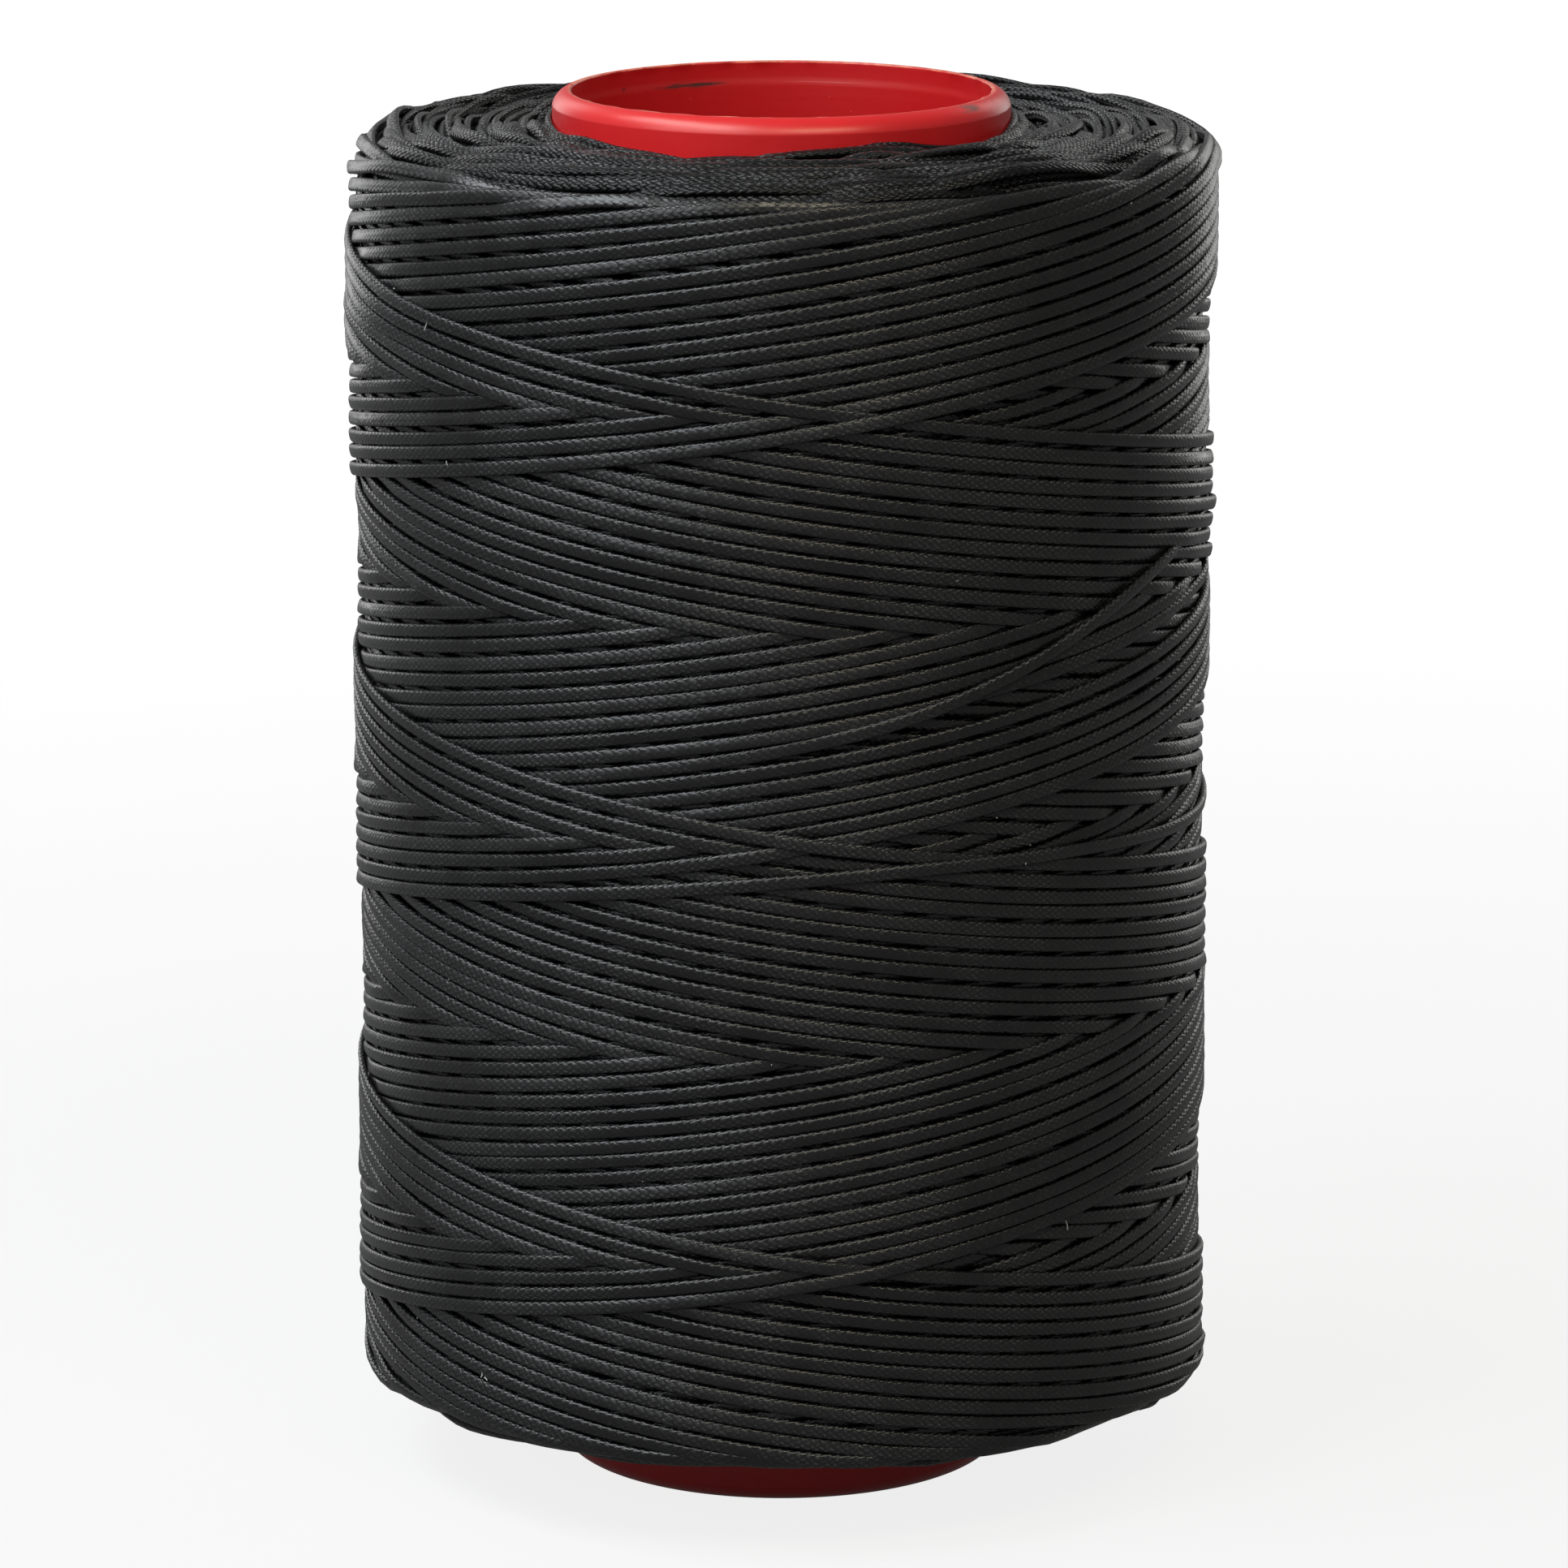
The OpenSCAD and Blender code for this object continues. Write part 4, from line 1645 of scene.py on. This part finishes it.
@dataclass
class WindingTube:
    """The straight plastic tube under the thread.

    Attributes:
        bore: Radius of the bore.
        wall: Wall thickness.
        length: Length over both rims.
        land: Width of the flat land of a rim.
        bevel: Height of the crowned bevel.
        crown: Bulge of the bevel.
        mouth: Depth of the relieved mouth.
        relief: Radial relief of the mouth.
        flash: Height of the ragged moulding flash on the inner edge of a rim.
        creep: How far the flash reaches inwards, as a share of the radius.
        segments: Steps round the axis.
        finish: Its finish.
    """

    bore: float = 20.3
    wall: float = 1.95
    length: float = 136.3
    land: float = 0.38
    bevel: float = 1.5
    crown: float = 0.28
    mouth: float = 2.0
    relief: float = 0.12
    flash: float = 0.09
    creep: float = 0.0036
    segments: int = 360
    finish: RedPlastic = RedPlastic(
        tube_marks_and_highlight=(
            TubeMark((-9.8, 17.9, 134.2), (5.8, 3.2, 0.5), srgb(70, 20, 22), 0.9, 1100.0, 0.49),
            TubeMark((-7.6, 18.9, 134.2), (3.4, 1.8, 0.2), srgb(46, 16, 18), 0.9, 900.0, 0.46),
            # Painted highlight: a thin pale line on the far side of the bore, where the step of the relieved
            # mouth catches the light.
            TubeMark((6.0, 19.4, 134.25), (8.5, 3.0, 0.07), srgb(206, 96, 90), 0.6, 500.0, 0.5),
            TubeMark((-15.4, 13.2, 134.4), (0.5, 0.6, 0.3), srgb(60, 16, 18), 0.9, 1200.0),
            TubeMark((17.2, -11.6, 135.9), (3.4, 2.6, 0.5), srgb(126, 92, 88), 0.9, 1200.0, 0.47),
            TubeMark((-20.6, 1.5, 136.2), (0.7, 3.4, 0.4), srgb(96, 44, 42), 0.7, 2400.0),
            TubeMark((19.4, -6.5, 135.9), (1.6, 3.2, 0.7), srgb(170, 96, 90), 0.6, 1800.0),
        )
    )

    def rim(self) -> list[tuple[float, float]]:
        """Profile of a rim from the bore outwards, as radius and depth below the rim."""
        mouth_r, outer = self.bore + self.relief, self.bore + self.wall
        width = outer - mouth_r - self.land
        chord = math.hypot(width, self.bevel)
        big = ((chord / 2.0) ** 2 + self.crown**2) / (2.0 * self.crown)
        centre_r = outer - width / 2.0 - (big - self.crown) * self.bevel / chord
        centre_z = self.bevel / 2.0 + (big - self.crown) * width / chord
        points = [(self.bore, self.mouth + 3.0), (self.bore, self.mouth + 0.5)]
        for share in (0.15, 0.35, 0.5, 0.65, 0.85):
            points.append((self.bore + self.relief * float(ease(np.array(share))), self.mouth + 0.5 - share))
        points += [(mouth_r, self.mouth - 0.5), (mouth_r, 1.0), (mouth_r, 0.3)]
        points += [(mouth_r, 0.1), (mouth_r + 0.02, 0.02), (mouth_r + 0.07, 0.0), (mouth_r + 0.2, 0.02)]
        start = math.atan2(centre_z, (outer - width) - centre_r)
        stop = math.atan2(centre_z - self.bevel, outer - centre_r)
        for step in range(15):
            angle = start + (stop - start) * step / 14.0
            points.append((centre_r + big * math.cos(angle), centre_z - big * math.sin(angle)))
        points.append((outer - 0.001, self.bevel + 0.03))
        points += [(outer, self.bevel + below) for below in (0.08, 0.5, 6.5)]
        return points

    def build(self) -> bpy.types.Object:
        """Makes the tube, with ragged moulding flash on the inner edge of each rim.

        Returns:
            The tube, seated on the root body.
        """
        rim = self.rim()
        upper = [(radius, self.length - depth) for radius, depth in rim]
        lower = [(radius, depth) for radius, depth in reversed(rim)]
        inside = [(self.bore, z) for z in np.linspace(12.0, self.length - 12.0, 8)]
        outside = [(self.bore + self.wall, z) for z in np.linspace(self.length - 14.0, 14.0, 8)]
        profile = np.array(inside + upper + outside + lower)[::-1]
        points, faces = revolved(profile, self.segments)
        cloud = points.reshape(self.segments, len(profile), 3)
        random = np.random.default_rng(3)
        turn = np.arange(self.segments) * 2.0 * math.pi / self.segments
        waves = [
            random.normal(0.0, 1.0) * np.sin(turn * wave + random.uniform(0.0, 6.3))
            for wave in (3, 7, 13, 29, 47, 71)
        ]
        nicks = np.clip(random.normal(0.0, 0.5, self.segments), 0.0, 1.0)
        ragged = np.clip(sum(waves) / 3.0, 0.0, 1.0) + 0.25 * nicks
        mouth_r = self.bore + self.relief
        for index, (radius, height) in enumerate(profile):
            edge = min(height, self.length - height)
            if radius < mouth_r + 0.12 and edge < 0.11:
                side = 1.0 if height > self.length / 2.0 else -1.0
                lip = 1.0 if radius < mouth_r + 0.03 else 0.6
                cloud[:, index, 2] -= side * self.flash * lip * (1.0 - ragged) * MM
                cloud[:, index, :2] *= (1.0 - self.creep * lip * ragged)[:, None]
        piece = mesh_object("red_winding_tube", cloud.reshape(-1, 3), faces, self.finish.material())
        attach(piece, "root")
        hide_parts(Node.TUBE.value)
        return piece


# ---------------------------------------------------------------- the studio


@dataclass(frozen=True)
class SoftBox:
    """A soft lamp aimed at the middle of the spool.

    Attributes:
        name: Its name.
        azimuth: Degrees to the right of the camera, round the spool.
        elevation: Degrees above the middle of the spool.
        distance: Distance from the middle, in metres.
        size: Width and height, in metres.
        power: Power, in watts.
        colour: Its colour.
    """

    name: str
    azimuth: float
    elevation: float
    distance: float
    size: tuple[float, float]
    power: float
    colour: Colour = (1.0, 1.0, 1.0)

    def build(self, centre: Row) -> bpy.types.Object:
        """Makes the lamp.

        Args:
            centre: The point it is aimed at, in metres.

        Returns:
            The lamp.
        """
        lamp = bpy.data.lights.new(self.name, "AREA")
        lamp.shape = "RECTANGLE"
        lamp.size, lamp.size_y = self.size
        lamp.energy = self.power
        lamp.color = self.colour
        thing = linked(self.name, lamp)
        side, lift = math.radians(self.azimuth), math.radians(self.elevation)
        level = math.cos(lift)
        towards = np.array([math.sin(side) * level, -math.cos(side) * level, math.sin(lift)])
        thing.location = (centre + towards * self.distance).tolist()
        thing.rotation_euler = (math.pi / 2.0 - lift, 0.0, side)
        return thing


@dataclass
class Studio:
    """Floor, background, lamps and camera.

    Attributes:
        sky: Strength of the even light from the left and from the right of the camera.
        reflected: Share of the white background that shows in reflections.
        middle: The point that the lamps are aimed at, in metres.
        stand: Place of the camera, in metres.
        dip: Angle by which the camera looks down, in degrees.
        lens: Focal length, in millimetres.
        lamps: The lamps.
    """

    sky: tuple[float, float] = (0.285, 0.13)
    reflected: float = 0.05
    middle: tuple[float, float, float] = (0.0, 0.0, 0.068)
    stand: tuple[float, float, float] = (0.000243, -0.757914, 0.238183)
    dip: float = 12.7149
    lens: float = 180.459
    lamps: tuple[SoftBox, ...] = (
        SoftBox("overhead_key", -70.0, 58.0, 0.95, (0.9, 0.28), 5.6, (0.91, 0.96, 1.0)),
        SoftBox("overhead_warm", 20.0, 46.0, 0.95, (0.5, 0.2), 2.3, (1.0, 0.91, 0.68)),
        SoftBox("cool_front_left", -46.0, 36.0, 1.1, (1.0, 0.6), 4.2, (0.9, 0.95, 1.0)),
        SoftBox("left_edge", -148.0, 6.0, 0.8, (0.3, 0.8), 1.2),
        SoftBox("right_edge", 148.0, 6.0, 0.8, (0.3, 0.8), 1.05, (1.0, 1.0, 0.97)),
    )

    def build(self) -> None:
        """Makes everything round the spool."""
        scene = bpy.context.scene
        scene.view_settings.view_transform = "Standard"
        for lamp in self.lamps:
            lamp.build(np.array(self.middle))
        self.background(scene)
        self.floor()
        self.camera(scene)

    def background(self, scene: bpy.types.Scene) -> None:
        """Sets a white background and a soft light from all round, weaker on the right."""
        world = bpy.data.worlds.new("white_room")
        world.use_nodes = True
        sheet = NodeSheet(world.node_tree)
        side = sheet.split(sheet.add("ShaderNodeTexCoord").outputs["Generated"])[0]
        strength = sheet.between(side, -0.5, 0.8, *self.sky)
        light = sheet.put("ShaderNodeBackground", {"Color": WHITE, "Strength": strength})
        white = sheet.put("ShaderNodeBackground", {"Color": WHITE, "Strength": 1.0})
        mix = sheet.put("ShaderNodeMixShader", {0: sheet.seen(self.reflected), 1: light, 2: white})
        sheet.fill(sheet.add("ShaderNodeOutputWorld"), {"Surface": mix})
        scene.world = world

    def floor(self) -> None:
        """Makes the pale floor that the spool stands on."""
        size = 3.0
        corners = np.array([[-size, -size, 0.0], [size, -size, 0.0], [size, size, 0.0], [-size, size, 0.0]])
        floor = mesh_object("studio_floor", corners, [(0, 1, 2, 3)], PaleFloor().material())

    def camera(self, scene: bpy.types.Scene) -> None:
        """Sets the camera at the viewing angle of a product shot, a little above the rim."""
        lens = bpy.data.cameras.new("product_camera")
        lens.sensor_fit = "HORIZONTAL"
        lens.sensor_width = 36.0
        lens.lens = self.lens
        lens.clip_end = 20.0
        camera = linked("product_camera", lens)
        camera.location = self.stand
        camera.rotation_euler = (math.radians(90.0 - self.dip), 0.0, 0.0)
        scene.camera = camera


def main() -> None:
    """Builds the spool and the studio, and logs the tube's face count and the thread's pieces."""
    logging.basicConfig(level=logging.INFO, format="%(name)s: %(message)s")
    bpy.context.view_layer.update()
    tube = WindingTube().build()
    LOG.info("%s: %d faces", tube.name, len(tube.data.polygons))
    pieces = WoundThread().build()
    LOG.info("thread pieces: %s", ", ".join(piece.name for piece in pieces))
    Studio().build()


if __name__ == "__main__":
    main()
